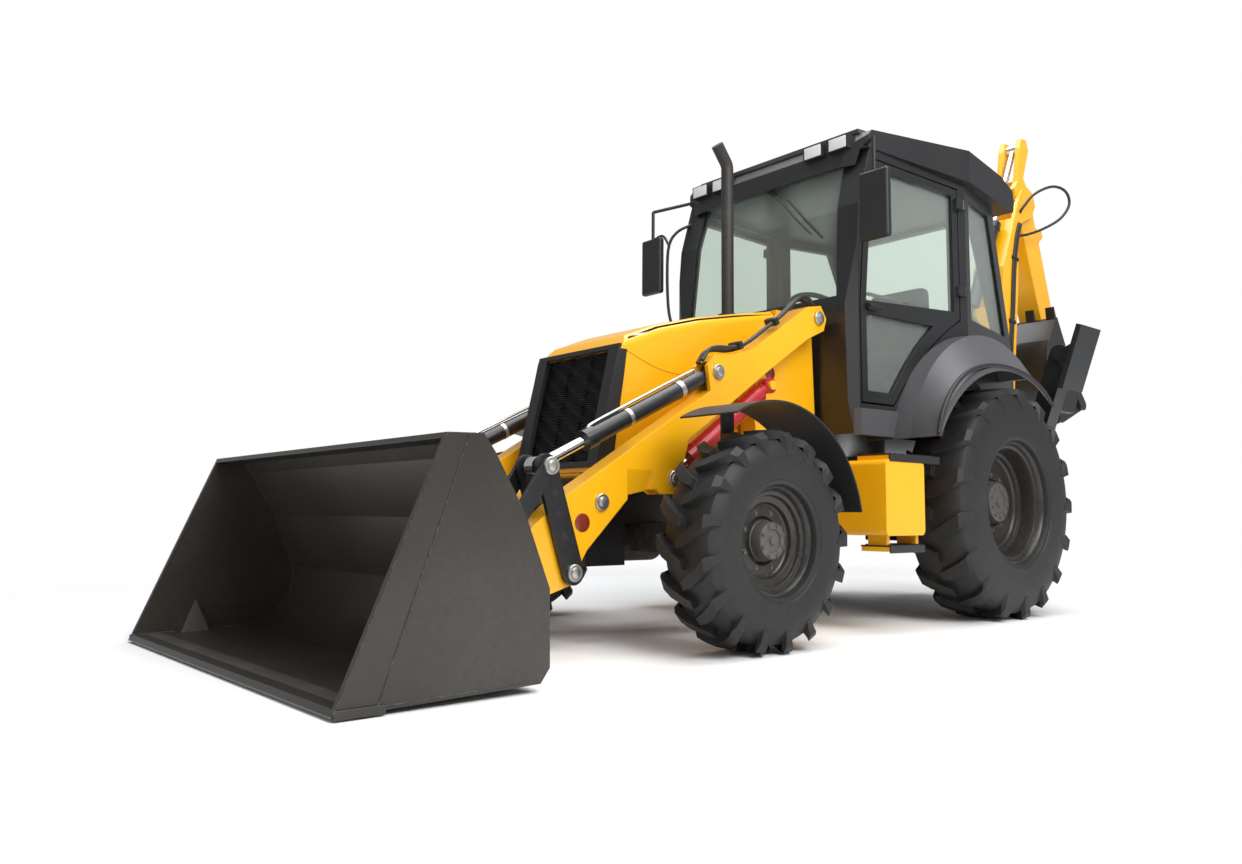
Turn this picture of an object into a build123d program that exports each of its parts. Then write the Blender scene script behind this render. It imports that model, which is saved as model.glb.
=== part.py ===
from build123d import *
import math
import os

# Backhoe loader. X forward, Y left, Z up, millimetres.
# Lengths along X are measured from the rear axle, heights from the ground.

MACHINE_MIDDLE = 613

# Wheels
WHEELBASE = 2178
FRONT_TYRE_RADIUS = 490
FRONT_TYRE_WIDTH = 320
FRONT_WHEEL_Y = 945
FRONT_RIM_RADIUS = 236
REAR_TYRE_RADIUS = 684
REAR_TYRE_WIDTH = 400
REAR_WHEEL_Y = 880
REAR_RIM_RADIUS = 355
RIM_FLANGE = 20
RIM_WALL = 14
TYRE_LUGS = 17
LUG_HEIGHT = 36
LUG_WIDTH = 84
LUG_SWEEP = 110
LUG_DRAFT = 5
HUB_GAP = 0.3

# Clearances
PIN_GAP = 0.3
SIDE_GAP = 4
PANEL_GAP = 12

# Front axle and steering
KINGPIN_Y = 840
KINGPIN_RADIUS = 28
AXLE_BEAM = 140
KNUCKLE_HEIGHT = 190
YOKE_PLATE = 32
SPINDLE_RADIUS = 55
REAR_SPINDLE_RADIUS = 80
FENDER_RADIUS = 600
FENDER_SHEET = 8

# Main frame
RAIL_Y = 300
RAIL_WIDTH = 60
RAIL_BOTTOM = 560
RAIL_TOP = 770
FRAME_REAR = -640
FRAME_FRONT = WHEELBASE + 462
BOLSTER_REAR = WHEELBASE + 222
HANGER_FRONT = WHEELBASE - 188
TRUNNION_RADIUS = 60
HOOD_HALF_WIDTH = 325

# Loader arms and bucket
ARM_INNER = 460
ARM_OUTER = 570
ARM_PIVOT = (1240, 1683)
LIFT_BASE = (1606, 1279)
LIFT_EYE = (2330, 770)
TILT_BASE = (2033, 1304)
LEVER_FOOT = (2931, 356)
LEVER_TOP = (3077, 801)
BUCKET_HINGE = (3340, 220)
BUCKET_LUG = (3388, 345)
BUCKET_HALF_WIDTH = 1121
BUCKET_PLATE = 22
LEVER_PLATE = 22
LUG_PLATE = 22
PIN_RADIUS = 25
CYLINDER_RADIUS = 48
ROD_RADIUS = 25
LIFT_BARREL = 720
TILT_BARREL = 880
EYE_RADIUS = 42

# Cab
CAB_WALL = 45
CAB_FLOOR = 1050
CAB_TOP = 2690
GLASS_DEPTH = 24
GLASS_THICKNESS = 6
ROOF_HEIGHT = 170

# Digging arm
SWING_X = -1400
BOOM_FOOT = (-1620, 780)
BOOM_TIP = (-2138, 3201)
BOOM_HALF_WIDTH = 130
BOOM_BASE = (-1450, 1085)
BOOM_EYE = (-1510, 1950)
DIPPER_BASE = (-1395, 2150)
DIPPER_EYE = (-2170, 3700)
DIPPER_HALF_WIDTH = 95
DIPPER_LENGTH = 1650
DIPPER_LEAN = 70
GUIDE_PIVOT = 260
GUIDE_LENGTH = 460
GUIDE_ANGLE = 155.8
BUCKET_LINK_PIN = 250
BUCKET_LINK_ANGLE = 230
CURL_BASE = (210, DIPPER_LENGTH - 300)
BOOM_BARREL = 770
DIPPER_BARREL = 930
CURL_BARREL = 850
HOE_BUCKET_HALF_WIDTH = 300
HOE_PLATE = 24
FOOT_RADIUS = 95
HOE_PIN_RADIUS = 30

# Stabilizers
LEG_X = -910
LEG_WIDTH = 140
LEG_FOOT = (560, 600)
PAD_PIN = (940, 1680)
PAD_LENGTH = 430
PAD_WIDTH = 290
PAD_TILT = 19
PAD_REACH = 110

os.makedirs("parts", exist_ok=True)


def save(name, shape):
    export_step(Pos(-MACHINE_MIDDLE, 0, 0) * shape, f"parts/{name}.step")


def block(x0, x1, y0, y1, z0, z1):
    middle = ((x0 + x1) / 2, (y0 + y1) / 2, (z0 + z1) / 2)
    return Pos(*middle) * Box(x1 - x0, y1 - y0, z1 - z0)


def plate(points, y0, y1):
    """A plate with its outline in (x, z), from y0 to y1."""
    outline = make_face(Polyline(*[(x, y0, z) for x, z in points], close=True))
    return extrude(outline, y1 - y0, dir=(0, 1, 0))


def slab(points, z0, z1):
    """A slab with its outline in (x, y), from z0 to z1."""
    outline = make_face(Polyline(*[(x, y, z0) for x, y in points], close=True))
    return extrude(outline, z1 - z0, dir=(0, 0, 1))


def cross_plate(points, x0, x1):
    """A plate with its outline in (y, z), from x0 to x1."""
    outline = make_face(Polyline(*[(x0, y, z) for y, z in points], close=True))
    return extrude(outline, x1 - x0, dir=(1, 0, 0))


def rod(start, end, radius):
    axis = Vector(*end) - Vector(*start)
    return Solid.make_cylinder(radius, axis.length, Plane(origin=start, z_dir=axis))


def pin(place, radius, y0, y1):
    return rod((place[0], y0, place[1]), (place[0], y1, place[1]), radius)


def bar(start, end, width, y0, y1):
    """A flat link with round ends between two places in (x, z)."""
    run = Vector(end[0] - start[0], end[1] - start[1])
    side = Vector(-run.Y, run.X).normalized() * (width / 2)
    corners = [
        (start[0] + side.X, start[1] + side.Y),
        (end[0] + side.X, end[1] + side.Y),
        (end[0] - side.X, end[1] - side.Y),
        (start[0] - side.X, start[1] - side.Y),
    ]
    return plate(corners, y0, y1) + pin(start, width / 2, y0, y1) + pin(end, width / 2, y0, y1)


def mirrored(shape):
    return shape.mirror(Plane.XZ)


def both(shape):
    return Compound([*shape.solids(), *mirrored(shape).solids()])


def along(start, end, distance):
    """The place at a distance from start towards end, in (x, z)."""
    run = Vector(end[0] - start[0], end[1] - start[1]).normalized() * distance
    return (start[0] + run.X, start[1] + run.Y)


def lift(place, y):
    return (place[0], y, place[1])


# Wheels

def tyre(radius, width, rim_radius):
    """A casing seated on the rim, with two rows of slanting lugs that alternate round it."""
    half = width / 2
    bead = half - 2 * RIM_WALL - RIM_FLANGE
    wall = rim_radius + RIM_FLANGE
    tread = radius - LUG_HEIGHT
    belly = (wall + tread) / 2
    sections = [(-bead, wall), (-half, belly), (2 * RIM_WALL - half, tread)]
    sections += [(-y, r) for y, r in reversed(sections)]
    rings = [Plane(origin=(0, y, 0), z_dir=(0, 1, 0)) * RegularPolygon(r, 2 * TYRE_LUGS) for y, r in sections]
    casing = loft(rings, ruled=True) - rod((0, -half, 0), (0, half, 0), rim_radius)
    foot = belly + LUG_HEIGHT / 2
    outline = [
        (half - RIM_WALL, LUG_SWEEP / 2 + LUG_WIDTH / 2), (half - RIM_WALL, LUG_SWEEP / 2 - LUG_WIDTH / 2),
        (-RIM_WALL, -LUG_SWEEP / 2 - LUG_WIDTH / 2), (-RIM_WALL, LUG_WIDTH / 2 - LUG_SWEEP / 2)]
    tangent = Plane(origin=(foot, 0, 0), x_dir=(0, 1, 0), z_dir=(1, 0, 0))
    lug_face = tangent * make_face(Polyline(*outline, close=True))
    blank = extrude(lug_face, radius - foot, taper=LUG_DRAFT)
    over = max(math.hypot(v.X, v.Z) for v in blank.vertices()) - radius
    lug = extrude(lug_face, radius - over - foot, taper=LUG_DRAFT)
    tip = max(lug.vertices(), key=lambda v: math.hypot(v.X, v.Z))
    to_ground = 90 - math.degrees(math.atan2(-tip.Z, tip.X))
    pitch = 360 / TYRE_LUGS
    lugs = [Rot(0, to_ground + pitch * i, 0) * lug for i in range(TYRE_LUGS)]
    lugs += [Rot(0, to_ground + pitch * (i + 0.5), 0) * mirrored(lug) for i in range(TYRE_LUGS)]
    return casing + lugs


def rim(width, rim_radius, dish, hub_radius, bore, bore_depth):
    """Barrel with two flanges, a dished disc and a hub with a blind bore from the inner side."""
    bead = width / 2 - 2 * RIM_WALL - RIM_FLANGE
    edge = bead + RIM_WALL
    outer = rim_radius + RIM_FLANGE - 2
    barrel = rim_radius - RIM_WALL
    disc = edge - dish
    profile = [
        (rim_radius, -bead), (outer, -bead), (outer, -edge), (barrel, -edge),
        (barrel, disc - RIM_WALL), (hub_radius, disc - RIM_WALL), (hub_radius, disc - bore_depth),
        (bore, disc - bore_depth), (bore, disc), (0, disc), (0, disc + 2 * RIM_WALL),
        (hub_radius, disc + 2 * RIM_WALL), (hub_radius, disc + RIM_WALL), (barrel, disc + RIM_WALL),
        (barrel, edge), (outer, edge), (outer, bead), (rim_radius, bead),
    ]
    return revolve(make_face(Polyline(*profile, close=True)), Axis.Y)


FRONT_DISH = 95
FRONT_HUB = 100
FRONT_BORE_DEPTH = 60
REAR_DISH = 160
REAR_HUB = 135
REAR_BORE_DEPTH = 60
front_wheel = Pos(WHEELBASE, FRONT_WHEEL_Y, FRONT_TYRE_RADIUS)
rear_wheel = Pos(0, REAR_WHEEL_Y, REAR_TYRE_RADIUS)
front_tyre = front_wheel * tyre(FRONT_TYRE_RADIUS, FRONT_TYRE_WIDTH, FRONT_RIM_RADIUS)
front_rim = front_wheel * rim(
    FRONT_TYRE_WIDTH, FRONT_RIM_RADIUS, FRONT_DISH, FRONT_HUB, SPINDLE_RADIUS + HUB_GAP, FRONT_BORE_DEPTH)
rear_tyre = rear_wheel * tyre(REAR_TYRE_RADIUS, REAR_TYRE_WIDTH, REAR_RIM_RADIUS)
rear_rim = rear_wheel * rim(
    REAR_TYRE_WIDTH, REAR_RIM_RADIUS, REAR_DISH, REAR_HUB, REAR_SPINDLE_RADIUS + HUB_GAP, REAR_BORE_DEPTH)
save("tyre_front_left", front_tyre)
save("tyre_front_right", mirrored(front_tyre))
save("rim_front_left", front_rim)
save("rim_front_right", mirrored(front_rim))
save("tyre_rear_left", rear_tyre)
save("tyre_rear_right", mirrored(rear_tyre))
save("rim_rear_left", rear_rim)
save("rim_rear_right", mirrored(rear_rim))


# Front axle, knuckles and their fenders

def disc_plane(width, dish):
    """Distance from the wheel's middle to the hub's blind end."""
    return width / 2 - RIM_WALL - RIM_FLANGE - dish


axle_z = FRONT_TYRE_RADIUS
knuckle_half = KNUCKLE_HEIGHT / 2
yoke_top = axle_z + knuckle_half + PIN_GAP
yoke = block(WHEELBASE - 50, WHEELBASE + 50, KINGPIN_Y - 90, KINGPIN_Y + 40, yoke_top, yoke_top + YOKE_PLATE)
yoke += block(WHEELBASE - 50, WHEELBASE + 50, KINGPIN_Y - 90, KINGPIN_Y + 40,
              2 * axle_z - yoke_top - YOKE_PLATE, 2 * axle_z - yoke_top)
yoke += block(WHEELBASE - 60, WHEELBASE + 60, KINGPIN_Y - 130, KINGPIN_Y - 80,
              2 * axle_z - yoke_top - YOKE_PLATE, yoke_top + YOKE_PLATE)
beam = block(WHEELBASE - AXLE_BEAM / 2, WHEELBASE + AXLE_BEAM / 2, 1 - KINGPIN_Y + 100, KINGPIN_Y - 100,
             axle_z - AXLE_BEAM / 2, axle_z + AXLE_BEAM / 2)
housing = rod((WHEELBASE - 150, 60, axle_z), (WHEELBASE + 150, 60, axle_z), 125)
trunnion = rod((HANGER_FRONT, 0, axle_z), (BOLSTER_REAR, 0, axle_z), TRUNNION_RADIUS)
front_axle = beam + yoke + mirrored(yoke) + housing + trunnion
kingpin_hole = rod((WHEELBASE, KINGPIN_Y, 0), (WHEELBASE, KINGPIN_Y, 2 * axle_z), KINGPIN_RADIUS + PIN_GAP)
front_axle = front_axle - kingpin_hole - mirrored(kingpin_hole)
save("front_axle", front_axle)

hub_end = FRONT_WHEEL_Y + disc_plane(FRONT_TYRE_WIDTH, FRONT_DISH)
KNUCKLE_DEPTH = 62
knuckle = block(WHEELBASE - KNUCKLE_DEPTH, WHEELBASE + KNUCKLE_DEPTH, KINGPIN_Y - 40, KINGPIN_Y + 45,
                axle_z - knuckle_half, axle_z + knuckle_half)
knuckle += rod((WHEELBASE, KINGPIN_Y, axle_z - knuckle_half - YOKE_PLATE),
               (WHEELBASE, KINGPIN_Y, axle_z + knuckle_half + YOKE_PLATE + 20), KINGPIN_RADIUS)
knuckle += rod((WHEELBASE, KINGPIN_Y, axle_z), (WHEELBASE, hub_end - 1, axle_z), SPINDLE_RADIUS)

FENDER_INNER = KINGPIN_Y - 78
FENDER_OUTER = FRONT_WHEEL_Y + FRONT_TYRE_WIDTH / 2
FENDER_CENTRE = (WHEELBASE + 17, axle_z + 15)
FENDER_FRONT_ANGLE = 62
FENDER_REAR_ANGLE = 169


def on_circle(centre, radius, degrees, y=0):
    turn = math.radians(degrees)
    return (centre[0] + radius * math.cos(turn), y, centre[1] + radius * math.sin(turn))


def arch(centre, radius, thickness, first, last, y0, y1):
    """A bent sheet round an axle, from one angle to another."""
    middle = (first + last) / 2
    inner = radius - thickness
    outline = [
        ThreePointArc(on_circle(centre, radius, first, y0), on_circle(centre, radius, middle, y0),
                      on_circle(centre, radius, last, y0)),
        Line(on_circle(centre, radius, last, y0), on_circle(centre, inner, last, y0)),
        ThreePointArc(on_circle(centre, inner, last, y0), on_circle(centre, inner, middle, y0),
                      on_circle(centre, inner, first, y0)),
        Line(on_circle(centre, inner, first, y0), on_circle(centre, radius, first, y0)),
    ]
    return extrude(make_face(outline), y1 - y0, dir=(0, 1, 0))


bracket_foot = axle_z + knuckle_half + YOKE_PLATE + 2
fender = arch(FENDER_CENTRE, FENDER_RADIUS, FENDER_SHEET, FENDER_FRONT_ANGLE, FENDER_REAR_ANGLE,
              FENDER_INNER, FENDER_OUTER)
bracket = block(WHEELBASE - 40, WHEELBASE + 40, FENDER_INNER, FENDER_INNER + 12,
                bracket_foot, FENDER_CENTRE[1] + FENDER_RADIUS - FENDER_SHEET / 2)
bracket += block(WHEELBASE - 40, WHEELBASE + 40, FENDER_INNER, KINGPIN_Y + 35,
                 bracket_foot, bracket_foot + 14)
knuckle_left = knuckle + bracket
save("knuckle_left", knuckle_left)
save("knuckle_right", mirrored(knuckle_left))
fender_left = fender - bracket
save("front_fender_left", fender_left)
save("front_fender_right", mirrored(fender_left))

# Rear axle
rear_z = REAR_TYRE_RADIUS
rear_hub_end = REAR_WHEEL_Y + REAR_TYRE_WIDTH / 2 - RIM_WALL - RIM_FLANGE - REAR_DISH
trumpet = rod((0, 0, rear_z), (0, REAR_WHEEL_Y - REAR_TYRE_WIDTH / 2 + 40, rear_z), 110)
trumpet += rod((0, 0, rear_z), (0, rear_hub_end - 1, rear_z), REAR_SPINDLE_RADIUS)
rear_axle = trumpet + mirrored(trumpet) + rod((-190, 0, rear_z), (190, 0, rear_z), 190)
save("rear_axle", rear_axle)

# Main frame with the front bolster
rail = block(FRAME_REAR, FRAME_FRONT, RAIL_Y - RAIL_WIDTH, RAIL_Y, RAIL_BOTTOM, RAIL_TOP)
rail -= rod((0, 0, rear_z), (0, 2 * RAIL_Y, rear_z), 110)
bolster = block(BOLSTER_REAR, FRAME_FRONT, -RAIL_Y, RAIL_Y, 360, RAIL_TOP)
hanger = block(HANGER_FRONT - 60, HANGER_FRONT, -RAIL_Y, RAIL_Y, 420, RAIL_TOP)
crossing = block(330, 410, -RAIL_Y, RAIL_Y, RAIL_BOTTOM, RAIL_TOP)
main_frame = rail + mirrored(rail) + bolster + hanger + crossing
save("main_frame", main_frame)

# Engine with its gearbox, one plain heavy block
ENGINE_REAR = 1330
engine = block(ENGINE_REAR, 2280, -230, 230, RAIL_TOP, 1380)
engine += block(ENGINE_REAR, ENGINE_REAR + 70, -200, 200, 480, 1100)
engine += block(480, ENGINE_REAR, -180, 180, 480, RAIL_TOP - 5)
save("engine", engine)

# Exhaust stack on the cowl behind the hood
COWL_FRONT = 1310
COWL_TOP = 1760
EXHAUST_RADIUS = 38
EXHAUST = (1200, -150)
stack_path = FilletPolyline(
    (*EXHAUST, COWL_TOP), (*EXHAUST, 2760), (EXHAUST[0] + 90, EXHAUST[1], 2870), radius=70)
exhaust = sweep(Plane(origin=(*EXHAUST, COWL_TOP)) * Circle(EXHAUST_RADIUS), stack_path)
exhaust += rod((*EXHAUST, COWL_TOP), (*EXHAUST, COWL_TOP + 60), EXHAUST_RADIUS + 22)
save("exhaust_stack", exhaust)

# Hood and grille
HOOD_SHEET = 12
HOOD_HINGE_RADIUS = 18
HOOD_HINGE = (2585, RAIL_TOP + HOOD_HINGE_RADIUS + PIN_GAP)
HOOD_BOTTOM = 800
HOOD_REAR = COWL_FRONT + 10
hood_outline = [
    (HOOD_REAR, HOOD_BOTTOM), (HOOD_REAR, 1755), (1610, 1700), (1915, 1638), (2200, 1560),
    (2400, 1480), (2470, 1390), (2530, 1145), (2605, HOOD_BOTTOM)]
hood_solid = plate(hood_outline, -HOOD_HALF_WIDTH, HOOD_HALF_WIDTH)
long_edges = hood_solid.edges().filter_by(lambda e: abs(e.tangent_at(0.5).Y) < 0.01)
top_edges = long_edges.filter_by(lambda e: e.center().Z > 1480)
hood_solid = fillet(top_edges, 55)
inside_outline = [
    (HOOD_REAR - 50, HOOD_BOTTOM - 50), (HOOD_REAR - 50, 1743), (1610, 1688), (1915, 1626), (2200, 1548),
    (2390, 1472), (2457, 1386), (2517, 1143), (2592, HOOD_BOTTOM), (2592, HOOD_BOTTOM - 50)]
inside = plate(inside_outline, -HOOD_HALF_WIDTH + HOOD_SHEET, HOOD_HALF_WIDTH - HOOD_SHEET)
GRILLE_HALF_WIDTH = 265
GRILLE_BOTTOM = 850
GRILLE_TOP = 1400
GRILLE_BAY = 170
grille_opening = block(2380, 2700, -GRILLE_HALF_WIDTH, GRILLE_HALF_WIDTH, GRILLE_BOTTOM, GRILLE_TOP)
hood_shell = hood_solid - inside
grille = hood_shell & grille_opening
SLAT_PITCH = 32
SLAT_GAP = 17
for z in range(GRILLE_BOTTOM + SLAT_GAP, GRILLE_TOP - SLAT_PITCH, SLAT_PITCH):
    for middle in (-GRILLE_BAY, 0, GRILLE_BAY):
        grille -= block(2380, 2700, middle - GRILLE_BAY / 2 + 8, middle + GRILLE_BAY / 2 - 8, z, z + SLAT_GAP)
hood = hood_shell - grille_opening
hood += pin(HOOD_HINGE, HOOD_HINGE_RADIUS, -200, 200)
save("hood", hood)
save("grille", grille)

# Loader towers
TOWER_INNER = 345
TOWER_OUTER = 450
ARM_PIN_RADIUS = 35
tower_outline = [
    (1100, 600), (1560, 600), (1650, 1220), (1660, 1310), (1560, 1350), (1335, 1730),
    (1190, 1750), (1150, 1640)]
tower = plate(tower_outline, TOWER_INNER, TOWER_OUTER)
tower += block(1100, 1560, RAIL_Y, TOWER_OUTER, 600, RAIL_TOP)
tower += pin(ARM_PIVOT, ARM_PIN_RADIUS, TOWER_INNER, ARM_OUTER + SIDE_GAP)
tower += pin(LIFT_BASE, PIN_RADIUS, TOWER_INNER, ARM_OUTER - 10)
save("loader_towers", both(tower))

# Loader arms
TUBE_RADIUS = 70
TUBE = (2765, 655)
arm_outline = [
    (1165, 1690), (1215, 1757), (1330, 1735), (1598, 1560), (1779, 1445), (1949, 1398), (2050, 1388),
    (2105, 1330), (2085, 1205), (2955, 683), (3048, 611), (3130, 550), (3220, 440), (3300, 310),
    (3385, 270), (3290, 172), (3190, 228), (3090, 255), (2937, 300), (2842, 449), (2595, 689), (2440, 720),
    (2400, 695), (2270, 700), (2265, 850), (2232, 958), (1660, 1345), (1332, 1556), (1190, 1620)]
arm = plate(arm_outline, ARM_INNER, ARM_OUTER)
arm += pin(BUCKET_HINGE, 70, ARM_INNER, ARM_OUTER)
arm += rod((TUBE[0], 0, TUBE[1]), (TUBE[0], ARM_INNER, TUBE[1]), TUBE_RADIUS)
slot = bar(LIFT_EYE, along(LIFT_EYE, LIFT_BASE, 260), 120, ARM_INNER + LUG_PLATE, ARM_OUTER - LUG_PLATE)
slot += block(2200, 2460, ARM_INNER + LUG_PLATE, ARM_OUTER - LUG_PLATE, 600, 800)
arm -= slot
arm -= pin(ARM_PIVOT, ARM_PIN_RADIUS + PIN_GAP, ARM_INNER, ARM_OUTER)
arm -= pin(LEVER_FOOT, PIN_RADIUS + PIN_GAP, ARM_INNER, ARM_OUTER)
arm -= pin(BUCKET_HINGE, PIN_RADIUS + PIN_GAP, ARM_INNER, ARM_OUTER)
arm -= bar(TILT_BASE, along(TILT_BASE, LEVER_TOP, 400), 130, ARM_INNER + LUG_PLATE, ARM_OUTER - LUG_PLATE)
arm += pin(TILT_BASE, PIN_RADIUS, ARM_INNER, ARM_OUTER)
# Sloping relief low on the arm's outer face, clear of the tyre at full steering lock
relief = [(ARM_OUTER + 2, 812), (ARM_OUTER + 2, 640), (ARM_OUTER - 46, 640)]
arm -= cross_plate(relief, WHEELBASE + 287, WHEELBASE + 437)
loader_arms = arm + mirrored(arm)
save("loader_arms", loader_arms)

ARM_MIDDLE = (ARM_INNER + ARM_OUTER) / 2


def barrel(base, end, y, length, radius, width, hole):
    """A cylinder barrel with a bored foot at its base, open at its gland for the rod."""
    foot = pin(base, EYE_RADIUS, y - width / 2, y + width / 2)
    foot += rod(lift(base, y), lift(along(base, end, 2 * EYE_RADIUS), y), ROD_RADIUS + 5)
    tube = rod(lift(along(base, end, 2 * EYE_RADIUS), y), lift(along(base, end, length), y), radius)
    gland = rod(lift(along(base, end, length - 60), y), lift(along(base, end, length), y), radius + 6)
    bore = rod(lift(along(base, end, EYE_RADIUS + 15), y), lift(along(base, end, length + 10), y),
               ROD_RADIUS + PIN_GAP)
    return foot + tube + gland - bore - pin(base, hole + PIN_GAP, y - width, y + width)


def piston(base, end, y, tail, width):
    """A cylinder rod with a round eye at its end, its tail inside the barrel."""
    eye = pin(end, EYE_RADIUS, y - width / 2, y + width / 2)
    return rod(lift(along(base, end, tail), y), lift(end, y), ROD_RADIUS) + eye


EYE_WIDTH = ARM_OUTER - ARM_INNER - 2 * LUG_PLATE - 2 * SIDE_GAP
LIFT_TAIL = 100
TILT_TAIL = 420
lift_barrel = barrel(LIFT_BASE, LIFT_EYE, ARM_MIDDLE, LIFT_BARREL, CYLINDER_RADIUS, EYE_WIDTH, PIN_RADIUS)
save("lift_barrels", both(lift_barrel))
save("lift_rods", both(piston(LIFT_BASE, LIFT_EYE, ARM_MIDDLE, LIFT_TAIL, EYE_WIDTH)))
TILT_RADIUS = CYLINDER_RADIUS - 6
tilt_barrel = barrel(TILT_BASE, LEVER_TOP, ARM_MIDDLE, TILT_BARREL, TILT_RADIUS, EYE_WIDTH, PIN_RADIUS)
save("tilt_barrels", both(tilt_barrel))
save("tilt_rods", both(piston(TILT_BASE, LEVER_TOP, ARM_MIDDLE, TILT_TAIL, EYE_WIDTH)))

# Levers outside the arms, links outside the levers
LEVER_WIDTH = 105
LINK_WIDTH = 70
lever_out = ARM_OUTER + SIDE_GAP
lever_in = ARM_INNER - SIDE_GAP
link_out = lever_out + LEVER_PLATE + SIDE_GAP
link_in = lever_in - LEVER_PLATE - SIDE_GAP
lever = bar(LEVER_FOOT, LEVER_TOP, LEVER_WIDTH, lever_out, lever_out + LEVER_PLATE)
lever += bar(LEVER_FOOT, LEVER_TOP, LEVER_WIDTH, lever_in - LEVER_PLATE, lever_in)
lever += pin(LEVER_FOOT, PIN_RADIUS, lever_in - LEVER_PLATE, lever_out + LEVER_PLATE)
lever -= pin(LEVER_TOP, PIN_RADIUS + PIN_GAP, lever_in - LEVER_PLATE, lever_out + LEVER_PLATE)
save("loader_levers", both(lever))
link = bar(LEVER_TOP, BUCKET_LUG, LINK_WIDTH, link_out, link_out + LEVER_PLATE)
link += bar(LEVER_TOP, BUCKET_LUG, LINK_WIDTH, link_in - LEVER_PLATE, link_in)
link -= pin(BUCKET_LUG, PIN_RADIUS + PIN_GAP, link_in - LEVER_PLATE, link_out + LEVER_PLATE)
save("bucket_links", both(link))

# Loader bucket
bucket_outline = [
    (4205, 12), (3470, 30), (3432, 80), (3437, 348), (3540, 598), (3669, 811), (3714, 869), (3850, 865)]
back_curve = [(3720, 46), (3520, 122), (3459, 330)]
inside_corners = [(3459, 330), (3560, 588), (3687, 799), (3725, 846), (4260, 843), (4260, 34), (3720, 46)]
bucket = plate(bucket_outline, -BUCKET_HALF_WIDTH, BUCKET_HALF_WIDTH)
inner_side = BUCKET_PLATE - BUCKET_HALF_WIDTH
inside_places = [lift(place, inner_side) for place in inside_corners]
inside_edges = [Line(a, b) for a, b in zip(inside_places, inside_places[1:])]
inside_edges.append(ThreePointArc(*[lift(place, inner_side) for place in back_curve]))
hollow = extrude(make_face(inside_edges), -2 * inner_side, dir=(0, 1, 0))
ear_outline = [
    (3272, 220), (3310, 300), (3340, 375), (3380, 398), (3475, 398), (3447, 345), (3443, 148), (3345, 148),
    (3295, 163)]
for near, far in ((lever_out, lever_out + LEVER_PLATE), (lever_in - LEVER_PLATE, lever_in)):
    ear = plate(ear_outline, near, far)
    bucket += ear + mirrored(ear)
hinge_pin = pin(BUCKET_HINGE, PIN_RADIUS, lever_in - LEVER_PLATE, lever_out + LEVER_PLATE)
lug_pin = pin(BUCKET_LUG, PIN_RADIUS, lever_out, link_out + LEVER_PLATE)
lug_pin += pin(BUCKET_LUG, PIN_RADIUS, link_in - LEVER_PLATE, lever_in)
bucket += hinge_pin + mirrored(hinge_pin) + lug_pin + mirrored(lug_pin)
bucket -= hollow
save("loader_bucket", bucket)


# Cab, an upright shell with a bulging front and a slanted rear
ARCH_RADIUS = 760
ARCH_DEPTH = 620
cab_plan = [(1110, 640), (1070, 715), (0, 765), (-905, 575)]
cab_side = [
    (1085, CAB_FLOOR), (1100, 1226), (1105, 1777), (1050, 2352), (945, CAB_TOP), (-540, CAB_TOP),
    (-905, 1760), (-905, 1500), (-660, CAB_FLOOR)]


def cab_solid(inset):
    """The cab's outer form, drawn in by an inset on every wall."""
    plan = [*cab_plan, *[(x, -y) for x, y in reversed(cab_plan)]]
    plan_face = make_face(Polyline(*[(x, y, 0) for x, y in plan], close=True))
    upright = extrude(offset(plan_face, -inset, kind=Kind.INTERSECTION), CAB_TOP + 100, dir=(0, 0, 1))
    side_face = make_face(Polyline(*[(x, 0, z) for x, z in cab_side], close=True))
    profile = extrude(offset(side_face, -inset, kind=Kind.INTERSECTION), 900, dir=(0, 1, 0), both=True)
    arch_start = (0, ARCH_DEPTH - inset, REAR_TYRE_RADIUS)
    wheel_arch = rod(arch_start, (0, 900, REAR_TYRE_RADIUS), ARCH_RADIUS + inset)
    return (upright & profile) - wheel_arch - mirrored(wheel_arch)


DOOR_REAR = 75
DOOR_SILL = 1215
DOOR_TOP = 2640
DOOR_INNER = 640
door_front = [(1055, DOOR_SILL), (1060, 1777), (1005, 2352), (905, DOOR_TOP)]
door_arch = [(DOOR_REAR, 1800), (430, 1560), (760, DOOR_SILL)]


def door_face(gap):
    """The door's outline, drawn in by a gap: its lower rear corner follows the rear fender."""
    corners = [door_arch[2], *door_front, (DOOR_REAR, DOOR_TOP), door_arch[0]]
    outline = [Line(lift(a, DOOR_INNER), lift(b, DOOR_INNER)) for a, b in zip(corners, corners[1:])]
    outline.append(ThreePointArc(*[lift(place, DOOR_INNER) for place in door_arch]))
    return offset(make_face(outline), -gap, kind=Kind.INTERSECTION)


def prism(face):
    return extrude(face, 500, dir=(0, 1, 0))


cab_body = cab_solid(0)
cab_shell = cab_body - cab_solid(CAB_WALL)
glass_shell = cab_solid(GLASS_DEPTH) - cab_solid(GLASS_DEPTH + GLASS_THICKNESS)
door_opening = prism(door_face(0))
WINDOW_INNER = 450
WINDOW_OUTER = 950
upper_window = plate([(1000, 1800), (950, 2330), (860, 2580), (140, 2580), (140, 1850)],
                     DOOR_INNER, WINDOW_OUTER)
lower_window = plate([(995, 1290), (1000, 1730), (370, 1730), (520, 1600), (660, 1450), (785, 1290)],
                     DOOR_INNER, WINDOW_OUTER)
quarter_window = plate([(-70, 1830), (-70, 2600), (-460, 2600), (-770, 1830)], WINDOW_INNER, WINDOW_OUTER)
windscreen_opening = cross_plate([(-590, 1830), (-560, 2620), (560, 2620), (590, 1830)], 900, 1150)
rear_opening = cross_plate([(-480, 1820), (-480, 2620), (480, 2620), (480, 1820)], -1000, -400)
door_left = (cab_shell & prism(door_face(PANEL_GAP))) - upper_window - lower_window
HINGE_RADIUS = 14
HINGE_LENGTH = 60
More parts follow.
